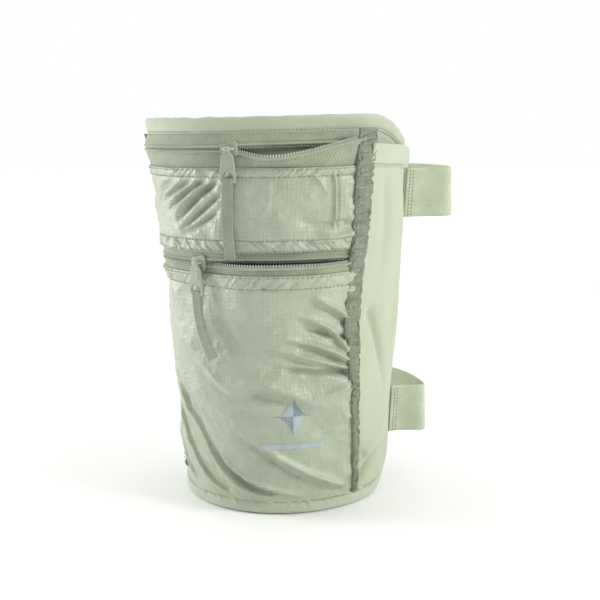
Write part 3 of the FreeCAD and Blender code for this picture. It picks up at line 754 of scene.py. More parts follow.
def soft_back(bearing, z):
    x = bearing * MM_PER_DEGREE
    beside_pocket = smooth(4, 18, np.maximum(bearing - WING_END + 40, FRONT_LEFT - bearing + 10))
    return back(z) + beside_pocket * (0.35 * wander(x, 0.6 * z, 30.0, 61.0) + 0.04 * wander(x, z, 4.0, 63.0))


def level_row(face, z):
    """A row of sewing at one height, just clear of a cloth face."""

    def row(bearing):
        level = np.full_like(bearing, z)
        return face(bearing, level) + 0.12, level

    return row


def level_edge(bearing):
    """An upright edge of a cloth piece, at one bearing all the way up."""
    return lambda z: np.full_like(z, bearing)


def back_panel():
    columns = 220
    bearing = np.linspace(LEFT_EDGE, RIGHT_EDGE, columns)[:, None]
    low, high = bottom_edge(bearing) + HEM - 1, top_edge(bearing) - HEM + 1
    levels = low + (high - low) * np.linspace(0, 1, 60)
    edges = level_edge(LEFT_EDGE), level_edge(RIGHT_EDGE)
    piece = cloth("back_jersey", soft_back, *edges, levels, JERSEY, columns)
    finish_piece(piece, KNIT, "root", "jersey", "back_panel")


def hem_outline(base, low, outside, inside, groove, tall=HEM):
    """Rounded section of a folded hem. base(z) is the radius of the cloth's outer face, and groove how
    far the stitch line lies above the hem's low edge."""
    share = np.array(
        [0.0, 0.01, 0.04, 0.09, 0.14, 0.19, 0.25, 0.35, 0.5, 0.65, 0.78, 0.86, 0.92, 0.96, 0.99, 1.0]
    )
    swell = (1 - np.abs(2 * share - 1) ** 7) ** 0.5
    z = low + tall * share
    pull = 0.4 * np.exp(-(((tall * share - groove) / 0.45) ** 2))
    middle = base(z) - JERSEY / 2
    outer = middle + (outside + JERSEY / 2) * swell - pull
    inner = middle - (inside + JERSEY / 2) * swell + 0.5 * pull
    return np.r_[outer, inner[::-1]], np.r_[z, z[::-1]]


def top_hem():
    def outline(bearing):
        low = float(top_edge(bearing)) - HEM + 0.25 * float(wander(bearing, 0, 7.0, 71.0))
        puff = 0.9 + 0.12 * float(wander(bearing, 5, 5.0, 72.0))
        return hem_outline(back, low, puff, 0.7, 1.5)

    piece = loft("top_hem_fold", band(np.linspace(LEFT_EDGE, RIGHT_EDGE, 260), outline))
    finish_piece(piece, HEM_KNIT, "root", "hem", "top_hem")

    def place(bearing):
        z = top_edge(bearing) - HEM + 1.5
        return back(z) + 0.55, z

    sew("top_hem_stitches", seam_row((LEFT_EDGE + 1, RIGHT_EDGE - 1), place, 2.0, 0.66), material=SHADED_THREAD)


def bottom_hem():
    def outline(bearing):
        low = float(bottom_edge(bearing)) + 0.12 * float(wander(bearing, 0, 7.0, 75.0))
        puff = 2.3 + 0.15 * float(wander(bearing, 5, 5.0, 76.0))
        x = bearing * MM_PER_DEGREE

        def gathered(z):
            near_stitches = smooth(1.0, HEM - 1.0, z - low)
            gathers = 0.5 * wander(x + 0.7 * (z - low), 0.2 * z, 2.2, 79.0) + 0.4 * wander(x, 3, 6.0, 80.0)
            return back(z) + near_stitches * gathers

        return hem_outline(gathered, max(low, 0.0), puff, 0.7, HEM - 1.6)

    piece = loft("bottom_hem_fold", band(np.linspace(LEFT_EDGE, RIGHT_EDGE, 620), outline))
    finish_piece(piece, HEM_KNIT, "root", "hem", "bottom_hem")

    def place(bearing):
        z = bottom_edge(bearing) + HEM - 1.6
        return back(z) + 2.0, z

    stitches = seam_row((LEFT_EDGE + 1, RIGHT_EDGE - 1), place, 1.7, 0.8, 1.3)
    sew("bottom_hem_stitches", stitches)


def gusset_top(bearing):
    t = (bearing - seam(180.0)) / (RIGHT_EDGE - seam(180.0))
    return GUSSET_TOP_FRONT + (GUSSET_TOP_BACK - GUSSET_TOP_FRONT) * t


def side_gusset():
    columns = 130
    bearing = np.linspace(53, WING_END, columns)[:, None]
    low, high = bottom_edge(bearing) + HEM - 1, gusset_top(bearing) - HEM + 1
    levels = low + (high - low) * np.linspace(0, 1, 110)
    edges = (lambda z: seam(z) + 1), level_edge(WING_END)
    piece = cloth("side_gusset_jersey", gusset, *edges, levels, JERSEY, columns)
    finish_piece(piece, KNIT, "root", "jersey", "side_gusset")


def gusset_hem():
    start = seam(180.0) + 1.5

    def outline(bearing):
        sway = 0.5 * float(wander(bearing, 2, 12.0, 77.0))
        low = float(gusset_top(bearing)) - GUSSET_HEM + sway
        flare = 2.2 * float(1 - smooth(60, 100, bearing))

        def base(z):
            return gusset(bearing, z) + flare * ((z - low) / GUSSET_HEM) ** 2.5

        return hem_outline(base, low, 1.5, 0.5, 1.5, GUSSET_HEM)

    piece = loft("gusset_hem_fold", band(np.linspace(start, WING_END, 70), outline))
    finish_piece(piece, HEM_KNIT, "root", "hem", "gusset_hem")

    def place(bearing):
        z = gusset_top(bearing) - GUSSET_HEM + 1.5 + 0.5 * wander(bearing, 2, 12.0, 77.0)
        return gusset(bearing, z) + 1.25, z

    sew("gusset_hem_stitches", seam_row((start + 1, WING_END - 1), place, 2.1, 0.85, 1.4), radius=0.24)


# ================================================================ pocket panels


def upper_pocket():
    levels = np.linspace(UPPER_PANEL_BOTTOM, UPPER_PANEL_TOP, 96)
    edges = level_edge(FRONT_LEFT), seam
    piece = cloth("upper_pocket_cloth", upper_face, *edges, levels, RIPSTOP, 330)
    finish_piece(piece, NYLON_CLOTH, "root", "ripstop", "upper_pocket_panel")


def lower_pocket():
    levels = np.linspace(HEM - 1.5, LOWER_PANEL_TOP, 240)
    edges = level_edge(FRONT_LEFT), seam
    piece = cloth("lower_pocket_cloth", lower_face, *edges, levels, RIPSTOP, 330)
    finish_piece(piece, NYLON_CLOTH, "root", "ripstop", "lower_pocket_panel")


def pocket_divider():
    """Lining that hangs from the card zip and parts the two pockets."""
    hem_z, sewn = HEM + 0.5, MOUTH_FROM_Z

    def face(bearing, z):
        gap = front(bearing, z) - back(z)
        halfway = back(z) + np.maximum(0.7, np.minimum(0.5 * gap - 0.2, gap - 4.2))
        sewn_face = front(bearing, sewn) - RIPSTOP - 0.9
        return halfway + (sewn_face - halfway) * smooth(132.0, sewn, z)

    levels = np.linspace(hem_z, sewn, 90)
    edges = level_edge(FRONT_LEFT + 0.5), (lambda z: seam(z) - 1)
    piece = cloth("pocket_lining", face, *edges, levels, 0.3, 120)
    finish_piece(piece, LINING_CLOTH, "root", "lining", "pocket_divider")


def binding_ring(z, middle, half, rise, depth, seed):
    """Flattened round section of a binding at a height, crinkled."""
    turn = np.linspace(0, 2 * np.pi, 28, endpoint=False)
    slant = z + 1.6 * turn
    creases = 0.3 - np.abs(wander(turn * 1.6, slant, 4.2, seed))
    crinkle = 1.7 * creases + 0.4 * wander(turn * 3.0, slant, 1.8, seed + 3)
    across = np.sign(np.cos(turn)) * np.abs(np.cos(turn)) ** 0.55
    out = np.sign(np.sin(turn)) * np.abs(np.sin(turn)) ** 0.8
    bearing = middle + half * across
    return at(bearing, rise + depth * out + crinkle, z + 0 * turn)


def right_binding():
    heights = np.linspace(HEM - 1, BINDING_TOP, 560)
    rings = []
    for z in heights:
        half = 1.9 + 1.5 * float(smooth(60, 100, z)) + 0.5 * float(smooth(120, 185, z))
        sway = 0.35 * float(wander(z, 3, 16.0, 81.0))
        middle = float(seam(z)) + sway
        rings.append(binding_ring(z, middle, half, front(middle, z) + 0.3, 1.25, 83.0))
    piece = loft("right_binding", np.array(rings))
    finish_piece(piece, SHADED_BAND_CLOTH, "root", "binding", "right_seam_binding")

    def run(z):
        return seam(z) - 1.0 - 1.1 * smooth(60, 100, z) + 0.3 * wander(z, 4, 16.0, 81.0)

    stitches = upright_row(run, lambda b, z: front(b, z) + 1.45, (HEM + 1, BINDING_TOP - 1), 2.3, 0.7, 0.3)
    sew("right_binding_stitches", stitches, material=SHADED_THREAD)


def left_binding():
    heights = np.linspace(HEM - 1, 187.0, 300)
    rings = []
    for z in heights:
        rings.append(binding_ring(z, FRONT_LEFT - 2.2, 2.0, back(z) + 2.0, 1.7, 87.0))
    piece = loft("left_binding", np.array(rings))
    finish_piece(piece, SHADED_BAND_CLOTH, "root", "binding", "left_seam_binding")
    face = lambda b, z: back(z) + 3.8
    stitches = upright_row(level_edge(FRONT_LEFT - 1.2), face, (HEM + 1, 185.0), 2.3, 0.7, 0.3)
    sew("left_binding_stitches", stitches, material=SHADED_THREAD)


def print_mark():
    """Generic four-pointed star over a plain bar. Its two tones split each arm along its middle."""
    middle, level, half, reach = 21.0, 54.5, 7.6, 10.0
    above = 0.12

    def patch(left, right, low, high, columns, rows):
        share = np.linspace(0, 1, columns)[:, None]
        bearing = left + (right - left) * share
        up = low(bearing) + (high(bearing) - low(bearing)) * np.linspace(0, 1, rows)
        bearing = bearing + 0 * up
        radius = lower_face(bearing, up)
        outer, inner = at(bearing, radius + above, up), at(bearing, radius - 0.1, up)
        return loft_arrays(np.concatenate([outer, inner[:, ::-1]], axis=1))

    def arm(bearing):
        return 0.15 + reach * (1 - np.abs(bearing - middle) / half) ** 2.4

    flat = lambda b: level + 0 * b
    up, down = (lambda b: level + arm(b)), (lambda b: level - arm(b))
    light = [patch(middle - half, middle, flat, up, 40, 24), patch(middle, middle + half, down, flat, 40, 24)]
    dark = [patch(middle - half, middle, down, flat, 40, 24), patch(middle, middle + half, flat, up, 40, 24)]
    bar = patch(7.0, 34.5, lambda b: 37.0 + 0 * b, lambda b: 39.8 + 0 * b, 90, 10)
    finish_piece(joined("print_star_light", light + [bar]), INK_LIGHT, "root", "print", "print_mark")
    finish_piece(joined("print_star_dark", dark), INK_DARK, "root", "print", "print_mark")


# ================================================================ zips


def spread(bearing, slider):
    return SLIDER_SPREAD / 2 * smooth(slider + 0.6, slider + 2.6, bearing)


def tape_outline(corners):
    """Section of a zip tape from its free edge to its sewn one, through (radius, z) corners. The tape
    swells over its coil beside the free edge, and a second row of sewing pulls it in."""
    corners = np.asarray(corners, float)
    reach = np.r_[0, np.cumsum(np.hypot(*np.diff(corners, axis=0).T))]
    near_edge = (0, 0.12, 0.3, 0.5, 0.75, 1.0, 1.25, 1.5, 1.75, 2.0, 2.3, 2.6, 3.0)
    distance = np.r_[near_edge, np.linspace(3.5, reach[-1], 8)]
    radius, z = (np.interp(distance, reach, corners[:, k]) for k in (0, 1))
    run = np.gradient(np.stack([radius, z]), distance, axis=1)
    run /= np.hypot(*run)
    normal = np.stack([np.abs(run[1]), -np.sign(run[1]) * run[0]])
    rolled_edge = 0.45 * np.exp(-(((distance - 0.85) / 0.5) ** 2))
    stitch_line = 0.22 * np.exp(-(((distance - 1.9) / 0.28) ** 2))
    swell = rolled_edge - stitch_line
    outer = np.stack([radius, z]) + normal * (swell - 0.2 * np.exp(-((distance / 0.12) ** 2)))
    inner = np.stack([radius, z]) - normal * (TAPE - 0.15 * np.exp(-((distance / 0.12) ** 2)))
    radius, z = np.concatenate([outer, inner[:, ::-1]], axis=1)
    return radius, z


def zip_stations(end):
    return np.linspace(FRONT_LEFT, end, 330)


def top_upper_edge(bearing):
    height = TOP_CHAIN_Z + 0.15 + spread(bearing, TOP_SLIDER)
    return back(TOP_CHAIN_Z) + TOP_TAPE_STANDOFF + 0 * bearing, height


def top_lower_edge(bearing):
    """Radius and height of the lower tape's free edge: the mouth stands open to the right."""
    reach = TOP_TAPE_STANDOFF + 9.2 * smooth(TOP_SLIDER + 2, 22.0, bearing)
    sag = MOUTH_SAG * smooth(TOP_SLIDER, 14.0, bearing)
    rise = (MOUTH_SAG + MOUTH_RISE) * smooth(14.0, 56.0, bearing)
    return back(TOP_CHAIN_Z) + reach, TOP_CHAIN_Z - 0.15 - spread(bearing, TOP_SLIDER) - sag + rise


def card_upper_edge(bearing):
    height = CARD_CHAIN_Z + 0.15 + spread(bearing, CARD_SLIDER)
    return front(bearing, CARD_CHAIN_Z) - TAPE_BEHIND_PANEL, height


def card_lower_edge(bearing):
    face = front(bearing, CARD_CHAIN_Z) - TAPE_BEHIND_PANEL
    return face + card_lip(bearing, LOWER_PANEL_TOP), CARD_CHAIN_Z - 0.15 - spread(bearing, CARD_SLIDER)


def top_upper_tape(bearing):
    radius, edge = top_upper_edge(bearing)
    hem_edge = float(top_edge(bearing)) - HEM + 0.6
    return tape_outline([(radius, edge), (radius, edge + 2.4), (back(hem_edge) + 0.7, hem_edge)])


def top_lower_tape(bearing):
    radius, edge = top_lower_edge(bearing)
    low = UPPER_PANEL_TOP - TAPE_UNDER_PANEL
    above = front(bearing, UPPER_PANEL_TOP) - TAPE_BEHIND_PANEL
    behind = front(bearing, low) - TAPE_BEHIND_PANEL
    return tape_outline([(radius, edge), (radius, edge - 2.4), (above, UPPER_PANEL_TOP), (behind, low)])


def card_upper_tape(bearing):
    radius, edge = card_upper_edge(bearing)
    high = UPPER_PANEL_BOTTOM + TAPE_UNDER_PANEL
    return tape_outline([(radius, edge), (front(bearing, high) - TAPE_BEHIND_PANEL, high)])


def card_lower_tape(bearing):
    radius, edge = card_lower_edge(bearing)
    low = LOWER_PANEL_TOP - TAPE_UNDER_PANEL
    over = front(bearing, LOWER_PANEL_TOP) + card_lip(bearing, LOWER_PANEL_TOP) - TAPE_BEHIND_PANEL
    behind = front(bearing, low) + card_lip(bearing, low) - TAPE_BEHIND_PANEL
    return tape_outline([(radius, edge), (over, LOWER_PANEL_TOP), (behind, low)])


def coil(name, edge, upward, phase, node):
    """Nylon coil: a wound filament whose turns reach a little past the tape's free edge."""
    end = float(seam(TOP_CHAIN_Z)) - 1.5
    turns = (end - FRONT_LEFT) * MM_PER_DEGREE / COIL_PITCH
    turn = np.linspace(0, 2 * np.pi * turns, int(turns * 12)) + phase
    bearing = FRONT_LEFT + 0.5 + (turn - phase) / (2 * np.pi) * COIL_PITCH / MM_PER_DEGREE
    radius, z = edge(bearing)
    path = at(bearing, radius - TAPE - 0.42 + 0.36 * np.cos(turn), z + upward * (0.35 + 1.15 * np.sin(turn)))
    piece = loft(name, tube(path, 0.27, 6))
    return finish_piece(piece, COIL_NYLON, "root", "zip_coil", node)


def chain_stitches(name, edge, upward):
    """The slanted sewing that holds a coil to its tape, and shows as a cord along the chain."""

    def place(bearing):
        radius, z = edge(bearing)
        return radius + 0.42, z + upward * 0.85

    stitches = seam_row((FRONT_LEFT + 1, float(seam(TOP_CHAIN_Z)) - 2.5), place, 1.15, 0.9, 0.8 * upward)
    sew(name + "_chain_sewing", stitches, radius=0.26, rise=0.12)


def tape_stitches(name, place, end, material=None):
    sew(name, seam_row((FRONT_LEFT + 1, end), place, 2.3, 0.68), material=material or SHADED_THREAD)


def zips():
    tapes = {
        "top_upper_tape": (top_upper_tape, 58.0, "top_zip_upper_tape"),
        "top_lower_tape": (top_lower_tape, float(seam(178.0)) - 0.5, "top_zip_lower_tape"),
        "card_upper_tape": (card_upper_tape, float(seam(130.0)) - 0.5, "card_zip_upper_tape"),
        "card_lower_tape": (card_lower_tape, float(seam(126.0)) - 0.5, "card_zip_lower_tape"),
    }
    for name, (outline, end, node) in tapes.items():
        piece = loft(name, band(zip_stations(end), outline))
        finish_piece(piece, TAPE_WEAVE, "root", "zip_tape", node)
    coil("top_upper_coil", top_upper_edge, 1, 0.0, "top_zip_upper_coil")
    coil("top_lower_coil", top_lower_edge, -1, 0.0, "top_zip_lower_coil")
    coil("card_upper_coil", card_upper_edge, 1, 0.0, "card_zip_upper_coil")
    coil("card_lower_coil", card_lower_edge, -1, 0.0, "card_zip_lower_coil")

    edges = {"top_upper": (top_upper_edge, 1), "top_lower": (top_lower_edge, -1)}
    edges.update({"card_upper": (card_upper_edge, 1), "card_lower": (card_lower_edge, -1)})
    for name, (edge, upward) in edges.items():
        chain_stitches(name, edge, upward)

    def on_upper(z):
        return level_row(upper_face, z)

    def on_lower(z):
        return level_row(lower_face, z)

    rows = {
        "upper_panel_top_stitches": (on_upper(UPPER_PANEL_TOP - 0.9), 46.5),
        "upper_panel_fold_stitches": (on_upper(UPPER_PANEL_TOP - 4.1), 46.0),
        "upper_panel_low_stitches": (on_upper(UPPER_PANEL_BOTTOM + 0.9), 44.5),
        "upper_panel_gather_stitches": (on_upper(UPPER_PANEL_BOTTOM + 5.6), 44.5),
        "lower_panel_top_stitches": (on_lower(LOWER_PANEL_TOP - 0.9), 43.5),
        "lower_panel_fold_stitches": (on_lower(LOWER_PANEL_TOP - 6.3), 43.0),
    }
    for name, (place, end) in rows.items():
        tape_stitches(name, place, end)


# ================================================================ sliders, tabs and pulls, in a local
# frame: x along the chain, y away from the viewer and z up from the chain, the tape's face at y = 0


def rounded(corners, radius, steps=5):
    """Outline of (x, z) corners with each corner turned into an arc."""
    corners = np.asarray(corners, float)
    outline = []
    for before, here, after in zip(np.roll(corners, 1, axis=0), corners, np.roll(corners, -1, axis=0)):
        back_run, on_run = before - here, after - here
        cut = min(radius, 0.48 * np.hypot(*back_run), 0.48 * np.hypot(*on_run))
        start = here + back_run / np.hypot(*back_run) * cut
        end = here + on_run / np.hypot(*on_run) * cut
        for t in np.linspace(0, 1, steps):
            outline.append((1 - t) ** 2 * start + 2 * t * (1 - t) * here + t**2 * end)
    return outline


def mirrored(right_side):
    return right_side + [(-x, z) for x, z in reversed(right_side)]


def plate(outlines, out0, out1, edge=0.25):
    """Verts and faces of a flat plate with rounded edges, between two distances from the tape's face.
    The first outline is its rim and the others are holes."""
    curve = bpy.data.curves.new("plate_outline", "CURVE")
    curve.dimensions = "2D"
    curve.fill_mode = "BOTH"
    curve.extrude = (out1 - out0) / 2 - edge
    curve.bevel_depth = edge
    curve.bevel_resolution = 3
    curve.offset = -edge
    for outline in outlines:
        spline = curve.splines.new("POLY")
        spline.points.add(len(outline) - 1)
        for point, (x, z) in zip(spline.points, outline):
            point.co = (x, z, 0, 1)
        spline.use_cyclic_u = True
    holder = bpy.data.objects.new("plate_holder", curve)
    bpy.context.scene.collection.objects.link(holder)
    bpy.context.view_layer.update()
    mesh = bpy.data.meshes.new_from_object(holder.evaluated_get(bpy.context.evaluated_depsgraph_get()))
    verts = np.array([(v.co.x, -(out0 + out1) / 2 - v.co.z, v.co.y) for v in mesh.vertices])
    faces = [list(p.vertices) for p in mesh.polygons]
    bpy.data.objects.remove(holder)
    bpy.data.curves.remove(curve)
    bpy.data.meshes.remove(mesh)
    return verts, faces


def rod(path, radius, sides=14):
    """Verts and faces of a round bar along local (x, out, z) points, with closed ends."""
    points = np.asarray(path, float) * (1, -1, 1)
    reach = np.r_[0, np.cumsum(np.linalg.norm(np.diff(points, axis=0), axis=1))]
    ends = np.minimum(reach, reach[-1] - reach)
    thick = radius * np.sqrt(np.clip(1 - (1 - np.clip(ends / (0.5 * radius), 0, 1)) ** 2, 0.02, 1))
    verts, faces, _ = loft_arrays(tube(points, thick, sides))
    return verts, [list(f) for f in faces]


def merged(parts):
    verts, faces, base = [], [], 0
    for part_verts, part_faces in parts:
        verts.append(part_verts)
        faces += [[base + i for i in face] for face in part_faces]
        base += len(part_verts)
    return np.vstack(verts), faces


def placed(verts, spot):
    """Local points moved to a slider's place on its chain."""
    centre, radius, z, bearing = spot
    a = math.radians(bearing)
    x, y, up = verts[:, 0], verts[:, 1] - radius, verts[:, 2] + z
    across = centre[0] + x * math.cos(a) - y * math.sin(a)
    deep = centre[1] + x * math.sin(a) + y * math.cos(a)
    return np.stack([across, deep, up], -1)


def slider_parts():
    right_side = [(-4.0, 2.2), (-1.0, 2.5), (1.5, 3.4), (3.6, 3.4), (4.2, 2.4)]
    rim = right_side + [(x, -z) for x, z in reversed(right_side)]
    left_half = ((-2.3, 0.9, 0), (-2.2, 2.2, 0), (-1.6, 3.0, 0))
    right_half = tuple((-x, y, z) for x, y, z in reversed(left_half))
    bridge = curve_through(left_half + ((0, 3.12, 0),) + right_half, 40)
    post = rounded([(3.1, 0.55), (4.2, 0.55), (4.2, -0.55), (3.1, -0.55)], 0.3)
    outer = plate([rounded(rim, 1.1)], 0.25, 1.25, 0.3)
    inner = plate([rounded(rim, 1.1)], -2.4, -1.7, 0.2)
    return merged([outer, inner, plate([post], -2.2, 1.0, 0.1), rod(bridge, BAIL_R)])


def tab_parts():
    bar = BAR_Z
    right_side = [(1.5, 0.2), (1.6, -1.6), (2.9, -2.9), (3.9, bar + 3.4), (3.9, bar - 0.75)]
    window = [(-2.9, bar + 0.75), (2.9, bar + 0.75), (2.5, bar + 3.0)]
    window += [(1.3, bar + 4.2), (-1.3, bar + 4.2), (-2.5, bar + 3.0)]
    panel = [(-1.7, -3.9), (1.7, -3.9), (2.2, bar + 6.0), (-2.2, bar + 6.0)]
    body = plate([rounded(mirrored(right_side), 1.0), rounded(window, 0.6)], 2.4, 3.6, 0.35)
    raised = plate([rounded(panel, 0.8)], 3.45, 3.85, 0.18)
    barrel = rod([(x, BAIL_OUT, 0) for x in np.linspace(-1.5, 1.5, 15)], 1.4, 20)
    low_bar = rod([(x, BAIL_OUT, bar) for x in np.linspace(-3.7, 3.7, 25)], 0.72)
    return merged([body, raised, barrel, low_bar])


def webbing_rings(length, lean_out, curve_right, sway):
    """Rings down a folded webbing pull: ribs cross it and its edges are raised."""
    steps = int(length * 7)
    rings = []
    edge = np.linspace(0, 2 * np.pi, 28, endpoint=False)
    for t in np.linspace(0, 1, steps):
        x = curve_right * t * t + sway * math.sin(math.pi * t)
        out = BAIL_OUT + lean_out * float(smooth(-0.2, 1.0, t))
        z = BAR_Z + 1.3 - (length - 0.4) * t
        turn = (2 * curve_right * t + sway * math.pi * math.cos(math.pi * t)) / length
        rib = 0.06 * math.sin(2 * math.pi * t * length / 1.15)
        across = np.sign(np.cos(edge)) * np.abs(np.cos(edge)) ** 0.45
        raised = 0.16 * np.exp(-(((np.abs(across) - 0.8) / 0.14) ** 2)) + rib
        thick = (0.42 + raised) * np.sign(np.sin(edge)) * np.abs(np.sin(edge)) ** 0.5
        pinch = 0.86 + 0.14 * float(smooth(0.0, 0.12, t))
        half = 2.65 * pinch * across
        open_loop = 0.75 * float(1 - smooth(0.02, 0.1, t))
        rings.append(np.stack([x + half, -(out + thick * (1 + open_loop)), z + half * turn], -1))
    return np.array(rings)


def hardware(name, spot, pull):
    pieces = {"slider": slider_parts(), "pull_tab": tab_parts()}
    bodies = {"slider": "_slider", "pull_tab": "_tab", "webbing_pull": "_pull"}
    for part, (verts, faces) in pieces.items():
        piece = make_mesh(f"{name}_{part}_casting", placed(verts, spot), faces)
        finish_piece(piece, ENAMEL, name + bodies[part], "slider_paint", f"{name}_zip_{part}")
    rings = webbing_rings(*pull)
    flat = placed(rings.reshape(-1, 3), spot).reshape(rings.shape)
    piece = loft(f"{name}_webbing", flat)
    finish_piece(piece, PULL_WEAVE, name + bodies["webbing_pull"], "webbing", f"{name}_zip_webbing_pull")


def chain_angle(centre, z, bearing):
    radius = float(circle_reach(*front_circle(z), bearing))
    a = math.radians(bearing)
    return math.degrees(math.atan2(radius * math.sin(a) - centre[0], radius * math.cos(a) + centre[1]))


def all_hardware():
    top_spot = ((0, 0), float(back(TOP_CHAIN_Z)) + TOP_TAPE_STANDOFF, TOP_CHAIN_Z, TOP_SLIDER)
    hardware("top", top_spot, (TOP_PULL_LENGTH, 3.6, 1.2, -0.5))
    centre, radius = front_circle(CARD_CHAIN_Z)
    angle = chain_angle(centre, CARD_CHAIN_Z, CARD_SLIDER)
    card_spot = (centre, float(radius) - TAPE_BEHIND_PANEL, CARD_CHAIN_Z, angle)
    hardware("card", card_spot, (CARD_PULL_LENGTH, 0.6, 9.0, -0.4))


# ================================================================ straps


def strap_route(low, reach):
    """The strap's middle line seen from above, from the gusset's edge round the calf to the left wing."""
    radius = back(low + STRAP_WIDTH / 2)
    top = back(low + STRAP_WIDTH)
    base, corner_z = GUSSET_BACK_STANDOFF, low + STRAP_WIDTH
    t = (STRAP_SEAM - GUSSET_START) / (WING_END - GUSSET_START)
    corner = front(GUSSET_START, corner_z) - back(corner_z)
    gusset_edge = back(corner_z) + base + (corner - base) * (1 - t) ** GUSSET_FALL_POWER
    seam_radius = gusset_edge + 0.3 + STRAP_THICK / 2
    wing = top + 2 * PATCH + 0.6 + STRAP_THICK / 2
    start = at(STRAP_SEAM, seam_radius, low)[:2]
    loop = ((reach - 0.17, 0.20), (reach, 0.26), (reach - 0.06, 0.45), (1.04, 0.78))
    loop += ((0.48, 1.10), (-0.30, 1.07), (-0.84, 0.66))
    points = [start] + [np.array(p) * radius for p in loop]
    tightest = min((low, low + STRAP_WIDTH), key=lambda z: float(waist(PATCH_TO, z)))
    return np.array(points + [at(bearing, wing, tightest)[:2] for bearing in (-112.0, -102.0, -92.0, -82.0)])


def spline(points, count):
    """Natural cubic spline through points, spaced by their distances."""
    knots = np.r_[0, np.cumsum(np.linalg.norm(np.diff(points, axis=0), axis=1))]
    gap = np.diff(knots)
    size = len(points)
    matrix, right = np.eye(size), np.zeros((size, 2))
    for i in range(1, size - 1):
        matrix[i, i - 1 : i + 2] = gap[i - 1], 2 * (gap[i - 1] + gap[i]), gap[i]
        right[i] = 6 * ((points[i + 1] - points[i]) / gap[i] - (points[i] - points[i - 1]) / gap[i - 1])
    bend = np.linalg.solve(matrix, right)
    where = np.linspace(0, knots[-1], count)
    i = np.clip(np.searchsorted(knots, where) - 1, 0, size - 2)
    a = ((knots[i + 1] - where) / gap[i])[:, None]
    b = 1 - a
    square = (gap[i] ** 2)[:, None] / 6
    return a * points[i] + b * points[i + 1] + ((a**3 - a) * bend[i] + (b**3 - b) * bend[i + 1]) * square


def strap_rings(line, low, height, inner, outer, wave=0.0):
    """Rings of a flat band that stands on edge along a line, with rounded edges."""
    run = np.gradient(line, axis=0)
    run /= np.linalg.norm(run, axis=1)[:, None]
    outward = np.stack([run[:, 1], -run[:, 0]], -1)
    share = np.array(
        [0, 0.01, 0.03, 0.06, 0.12, 0.2, 0.3, 0.4, 0.5, 0.6, 0.7, 0.8, 0.88, 0.94, 0.97, 0.99, 1.0]
    )
    swell = (1 - np.abs(2 * share - 1) ** 14) ** 0.5
    middle, half = (inner + outer) / 2, (outer - inner) / 2
    offsets = np.r_[middle + half * swell, (middle - half * swell)[::-1]]
    z = low + height * np.r_[share, share[::-1]]
    travelled = np.r_[0, np.cumsum(np.linalg.norm(np.diff(line, axis=0), axis=1))]
    lift = wave * wander(travelled, 0, 30.0, 91.0)[:, None] * (z - low - height / 2) / height
    flat = line[:, None] + outward[:, None] * (offsets + lift)[..., None]
    return np.concatenate([flat, np.broadcast_to(z, flat.shape[:2])[..., None]], axis=2)


def hug(rings, line, low):
    """Leans a strap's first stretch in against the gusset's edge, which tapers below it."""
    travelled = np.r_[0, np.cumsum(np.linalg.norm(np.diff(line, axis=0), axis=1))]
    drop = (back(low + STRAP_WIDTH) - back(rings[..., 2])) + 0.7
    fading = (1 - smooth(1.0, 16.0, travelled))[:, None]
    inward = at(STRAP_SEAM, 1.0, 0.0)[:2]
    rings = rings.copy()
    rings[..., :2] -= (drop * fading)[..., None] * inward
    return rings


def straps():
    sizes = (("upper", UPPER_STRAP_Z, UPPER_STRAP_REACH), ("lower", LOWER_STRAP_Z, LOWER_STRAP_REACH))
    for name, low, reach in sizes:
        body = f"{name}_strap"
        half = STRAP_THICK / 2
        line = spline(strap_route(low, reach), 240)
        rings = strap_rings(line, low, STRAP_WIDTH, -half, half, 0.5)
        band_piece = loft(f"{name}_elastic", hug(rings, line, low))
        finish_piece(band_piece, ELASTIC_WEAVE, body, "elastic", f"{name}_elastic_strap")
        count = len(line)
        end = line[int(0.905 * count) : int(0.995 * count)]
        hook = loft(f"{name}_hook", strap_rings(end, low + 1.5, STRAP_WIDTH - 3, -half - PATCH, -half + 0.02))
        finish_piece(hook, HOOK_TAPE, body, "hook_tape", f"{name}_hook_patch")
        bearings = np.linspace(PATCH_FROM, PATCH_TO, 40)
        rings = band(bearings, lambda b: patch_outline(low))
        loop = loft(f"{name}_loop", rings)
        finish_piece(loop, LOOP_TAPE, "root", "loop_tape", f"{name}_loop_patch")
        seam_stitches(name, low, line)


def patch_outline(low):
    share = np.linspace(0, 1, 15)
    z = low - 2.5 + (STRAP_WIDTH + 5) * share
    swell = (1 - np.abs(2 * share - 1) ** 12) ** 0.5
    outer = back(z) + 0.1 + PATCH * swell
    inner = back(z) - 0.1 * swell
    return np.r_[outer, inner[::-1]], np.r_[z, z[::-1]]


def seam_stitches(name, low, line):
    """The rows that hold the strap to the gusset's edge."""
    starts = np.arange(low + 0.8, low + STRAP_WIDTH - 1.5, 1.7)
    run = line[3] - line[0]
    run /= np.linalg.norm(run)
    outward = np.array([run[1], -run[0], 0.0])
    for row, along in enumerate((2.0, 3.6)):
        foot = line[0] + run * along + outward[:2] * (STRAP_THICK / 2 + 0.05)
        ends = np.stack([starts, starts + 1.2], -1)
        drop = (back(low + STRAP_WIDTH) - back(ends) + 0.7) * (1 - smooth(1.0, 16.0, along))
        flat = foot - drop[..., None] * at(STRAP_SEAM, 1.0, 0.0)[:2]
        stitches = np.concatenate([flat, ends[..., None]], axis=2)
        away = np.broadcast_to(outward, (len(starts), 3))
        sew(f"{name}_strap_seam_{row + 1}", stitches, f"{name}_strap", SHADED_THREAD, away)


# ================================================================ camera, floor and light


# the photo's camera, fitted to points measured in the photo: degrees and metres
CAMERA_AZIMUTH, CAMERA_ELEVATION, CAMERA_ROLL = 16.517, 10.431, -1.425
CAMERA_DISTANCE, CAMERA_TARGET = 0.5436, (0.0102, 0.0, 0.0988)
CAMERA_LENS, CAMERA_SENSOR = 61.9, 36.0


